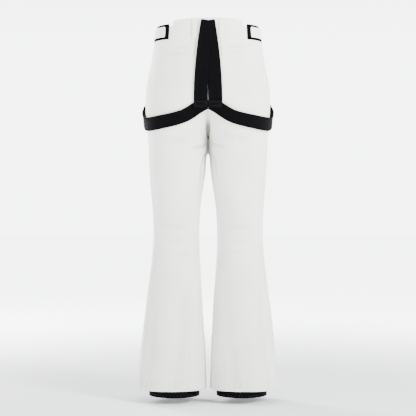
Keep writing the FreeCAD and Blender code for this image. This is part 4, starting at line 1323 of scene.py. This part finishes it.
def cuffAt(z, turn, grow):
    edge = min(cuffSpec["top"] - z, z - cuffSpec["low"])
    high, away, wide = cuffSpec["bead"]
    bead = high * math.exp(-((edge - away) / wide) ** 2)
    high, around, ease = cuffSpec["gather"]
    gather = high * np.sin(turn * around) * (1 - math.exp(-edge / ease)) * (grow == 0)
    high, around, tall = cuffSpec["slack"]
    slack = high * np.sin(turn * around + z / tall)
    radius = cuffSpec["radius"] - rounded(edge, cuffSpec["soft"]) + bead + gather + slack + grow
    cx, cy = gaiterSpec["centre"]
    return np.stack([cx + radius * np.cos(turn), cy + radius * np.sin(turn), np.full_like(turn, z)], 1)


# A closed band round the ankle: ringAt gives its points in plan at each level.
def ringMesh(name, ringAt, levels, wall, paint, mirror, count=264):
    turn = np.linspace(0, 2 * math.pi, count + 1)
    outer = np.array([ringAt(z, turn, 0.0) for z in levels])
    inner = np.array([ringAt(z, turn, -wall) for z in levels])
    middle = outer[len(levels) // 2, :, :2]
    around = np.concatenate([[0], np.cumsum(np.hypot(*np.diff(middle, axis=0).T))])
    flat = np.stack(np.broadcast_arrays(around[None, :], np.array(levels)[:, None]), 2)
    return sheetMesh(name, outer, inner, flat, np.ones((len(levels) - 1, count), bool),
                     np.ones(len(levels), bool), ("top", "bottom"), (paint, paint), mirror)


dotSpec = {
    "rows": 4, "first": 7, "pitch": 6.5, "count": 44, "size": (1.5, 3.4, 3.4), "stray": (0.008, 0.3),
}


# Soft drops of gripper printed on the cuff, in staggered rows.
def gripDots(name, mirror, seed):
    rng = random.Random(seed)
    work = bmesh.new()
    cx, cy = gaiterSpec["centre"]
    aside, up = dotSpec["stray"]
    for row in range(dotSpec["rows"]):
        z = cuffSpec["low"] + dotSpec["first"] + row * dotSpec["pitch"]
        for k in range(dotSpec["count"]):
            turn = (k + 0.5 * (row % 2)) / dotSpec["count"] * 2 * math.pi + rng.uniform(-aside, aside)
            x, y = cx + cuffSpec["radius"] * math.cos(turn), cy + cuffSpec["radius"] * math.sin(turn)
            place = Matrix.Translation(Vector((x, y, z + rng.uniform(-up, up))) * mm)
            place = place @ Matrix.Rotation(turn, 4, "Z") @ Matrix.Diagonal((*dotSpec["size"], 1))
            bmesh.ops.create_uvsphere(work, u_segments=6, v_segments=5, radius=0.5 * mm, matrix=place)
    return madeFrom(work, name, (gripper,), mirror)


for side in ("left", "right"):
    mirror = side == "right"
    levels = list(np.linspace(gaiterSpec["top"], gaiterSpec["low"], gaiterSpec["rows"]))
    gaiter = ringMesh(f"{side}_snow_gaiter", gaiterAt, levels, gaiterSpec["wall"], blackNylon, mirror)
    settle(gaiter, f"{side}_shin", "gaiter_nylon", f"{side}_gaiter")
    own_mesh(gaiter)
    levels = list(cuffSpec["top"] - fine(0, cuffSpec["top"] - cuffSpec["low"], cuffSpec["step"]))
    cuff = ringMesh(f"{side}_elastic_cuff", cuffAt, levels, cuffSpec["wall"], blackElastic, mirror)
    settle(cuff, f"{side}_cuff", "elastic", f"{side}_cuff")
    settle(gripDots(f"{side}_grip_dots", mirror, 5 + mirror), f"{side}_cuff", "gripper")
print("gaiters and cuffs built")


# stitching
stitchSpec = {
    "size": (3.0, 0.75, 0.6), "pitch": 4.0, "proud": 0.12, "seamAway": 3.6, "hemLines": (9, 28),
    "stand": 0.75, "bandLines": (3.2, 6.4), "clear": 4, "rootClear": 3,
}


# Short threads along lines of points with normals, in millimetres.
def stitches(name, lines, paint, mirror=False):
    work = bmesh.new()
    for points, out in lines:
        step = np.linalg.norm(np.diff(points, axis=0), axis=1)
        along = np.concatenate([[0], np.cumsum(step)])
        half = stitchSpec["pitch"] / 2
        spots = np.arange(half, along[-1] - half, stitchSpec["pitch"])
        centre, ahead, face = [
            np.stack([np.interp(at, along, table[:, k]) for k in range(3)], 1)
            for at, table in ((spots, points), (spots + 1, points), (spots, out))]
        for c, a, f in zip(centre, ahead - centre, face):
            run = Vector(a).normalized()
            up = (Vector(f) - run * Vector(f).dot(run)).normalized()
            turn = Matrix((run, run.cross(up) * -1, up)).transposed().to_4x4()
            spot = Matrix.Translation((Vector(c) + up * stitchSpec["proud"]) * mm)
            bmesh.ops.create_uvsphere(work, u_segments=5, v_segments=4, radius=0.5 * mm,
                                      matrix=spot @ turn @ Matrix.Diagonal((*stitchSpec["size"], 1)))
    return madeFrom(work, name, (paint,), mirror)


# A line down the leg at a set distance from one grid column.
def gridLine(side, rows, away, fromColumn):
    points, out = [], []
    for z in rowZ[rows]:
        start = np.interp(-z, -rowZ, gridArc[:, fromColumn]) if fromColumn else 0.0
        p, n = onLeg(side, float(z), np.array([start + away]))
        points.append(p[0])
        out.append(n[0])
    return np.array(points), np.array(out)


def levelLine(side, z):
    total = legRow(side, z)[3]
    return onLeg(side, z, np.linspace(0, total, 400))


for side in ("left", "right"):
    upper, lower, away = slice(0, cut + 1), slice(cut, len(rowZ)), stitchSpec["seamAway"]
    high = [gridLine(side, upper, -away, backColumns - 1), gridLine(side, upper, away, 0)]
    low = [gridLine(side, lower, -away, backColumns - 1)]
    low += [levelLine(side, hemZ + line) for line in stitchSpec["hemLines"]]
    bendHip(stitches(f"{side}_upper_stitches", high, whiteThread, side == "right"))
    bendKnee(stitches(f"{side}_lower_stitches", low, whiteThread, side == "right"))


# A line round the waistband at a level, or below its top edge.
def bandLine(z, first, last):
    s = np.linspace(first, last, 220)
    level = np.array([z(v) for v in s]) if callable(z) else np.full_like(s, z)
    return onHip(level, s, stitchSpec["stand"] + 0 * s)


def underTop(s):
    return topEdge(s) - stitchSpec["bandLines"][0]


clear, rootClear = stitchSpec["clear"], stitchSpec["rootClear"]
backEnds = (clear - backArc, backArc - clear)
bandStitches = [bandLine(bandZ + lift, *backEnds) for lift in stitchSpec["bandLines"]]
bandStitches.append(bandLine(underTop, *backEnds))
frontRuns = ((backArc + clear, pullRoot - rootClear), (pullRoot + rootClear, frontArc - clear))
for sign in (1, -1):
    for first, last in frontRuns:
        ends = sorted((sign * first, sign * last))
        bandStitches.append(bandLine(bandZ + stitchSpec["bandLines"][0], *ends))
        bandStitches.append(bandLine(underTop, *ends))
settle(stitches("waist_stitches", bandStitches, whiteThread), "seat", None)

# a box of stitching on each half of the cross-piece
crossStitch = {"middle": 5, "side": 4, "low": 6, "high": 3.6, "sink": 0.35}
boxes = []
for sign in (1, -1):
    near, far = sign * crossStitch["middle"], sign * (crossHigh[0] - crossStitch["side"])
    low, high = crossLow[2] + crossStitch["low"], crossHigh[2] - crossStitch["high"]
    face = crossHigh[1] - crossStitch["sink"]
    corners = [(near, low), (far, low), (far, high), (near, high), (near, low)]
    boxes.append((np.array([[x, face, z] for x, z in corners]), np.tile([0.0, 1.0, 0.0], (5, 1))))
settle(stitches("junction_stitches", boxes, blackThread), "seat", None)
print("stitching done")


# floor, light and camera
stageSpec = {
    "air": "#F4F6F9", "band": (0.13, 0.36), "sky": (7.0, 0.8), "glow": (0.5, 2.6), "far": 5.5,
    "floor": -1.075, "middle": (0, 0, -0.53),
}
# place, size in metres and power in watts
lights = {
    "key": ((-2.1, 2.0, 0.9), (0.8, 1.2), 230), "fill": ((2.3, 2.2, 0.2), (1.6, 2.2), 25),
    "front_key": ((2.0, -2.1, 0.8), (0.8, 1.2), 200), "top": ((0, 0.3, 2.2), (1.4, 1.4), 45),
}
cameraSpec = {"lens": 100.2, "far": 60, "place": (0, 3.3, -0.526), "turn": (90, 0, 180)}


def plainStage():
    bpy.ops.mesh.primitive_plane_add(size=40, location=(0, 0, stageSpec["floor"]))
    floor = bpy.context.object
    floor.name = "floor"
    paint = Shade("studio_floor", "#EBEDEF", 0.9)
    paint.tint(paint.noise(2.0), "#E3E5E7", "#E5E7E9")
    away = paint.add("ShaderNodeVectorMath", operation="LENGTH")
    paint.link(paint.coords, away.inputs[0])
    glow = paint.add("ShaderNodeMapRange", interpolation_type="SMOOTHSTEP")
    glow.inputs["From Min"].default_value, glow.inputs["From Max"].default_value = stageSpec["glow"]
    glow.inputs["To Max"].default_value = stageSpec["far"]
    paint.link(away.outputs["Value"], glow.inputs["Value"])
    paint.shader.inputs["Emission Color"].default_value = linear(stageSpec["air"])
    paint.link(glow.outputs["Result"], paint.shader.inputs["Emission Strength"])
    floor.data.materials.append(paint.material)
    floor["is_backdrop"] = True
    world = bpy.data.worlds.new("studio")
    world.use_nodes = True
    tree = world.node_tree
    sky = tree.nodes["Background"]
    sky.inputs["Color"].default_value = linear(stageSpec["air"])
    way = tree.nodes.new("ShaderNodeTexCoord")
    parts = tree.nodes.new("ShaderNodeSeparateXYZ")
    tree.links.new(way.outputs["Generated"], parts.inputs["Vector"])
    dim = tree.nodes.new("ShaderNodeMapRange")
    dim.interpolation_type = "SMOOTHSTEP"
    dim.inputs["From Min"].default_value, dim.inputs["From Max"].default_value = stageSpec["band"]
    dim.inputs["To Min"].default_value, dim.inputs["To Max"].default_value = stageSpec["sky"]
    tree.links.new(parts.outputs["Z"], dim.inputs["Value"])
    tree.links.new(dim.outputs["Result"], sky.inputs["Strength"])
    bpy.context.scene.world = world


def softLight(name, place, size, power):
    lamp = bpy.data.lights.new(name, "AREA")
    lamp.shape = "RECTANGLE"
    lamp.size, lamp.size_y = size
    lamp.energy = power
    obj = bpy.data.objects.new(name, lamp)
    obj.location = place
    aim = Vector(stageSpec["middle"]) - Vector(place)
    obj.rotation_euler = aim.to_track_quat("-Z", "Y").to_euler()
    bpy.context.scene.collection.objects.link(obj)


plainStage()
for name, (place, size, power) in lights.items():
    softLight(name, place, size, power)
camera = bpy.data.objects.new("camera", bpy.data.cameras.new("camera"))
camera.data.lens = cameraSpec["lens"]
camera.data.clip_end = cameraSpec["far"]
camera.location = cameraSpec["place"]
camera.rotation_euler = [math.radians(turn) for turn in cameraSpec["turn"]]
bpy.context.scene.collection.objects.link(camera)
bpy.context.scene.camera = camera
print("stage set")

low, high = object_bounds()
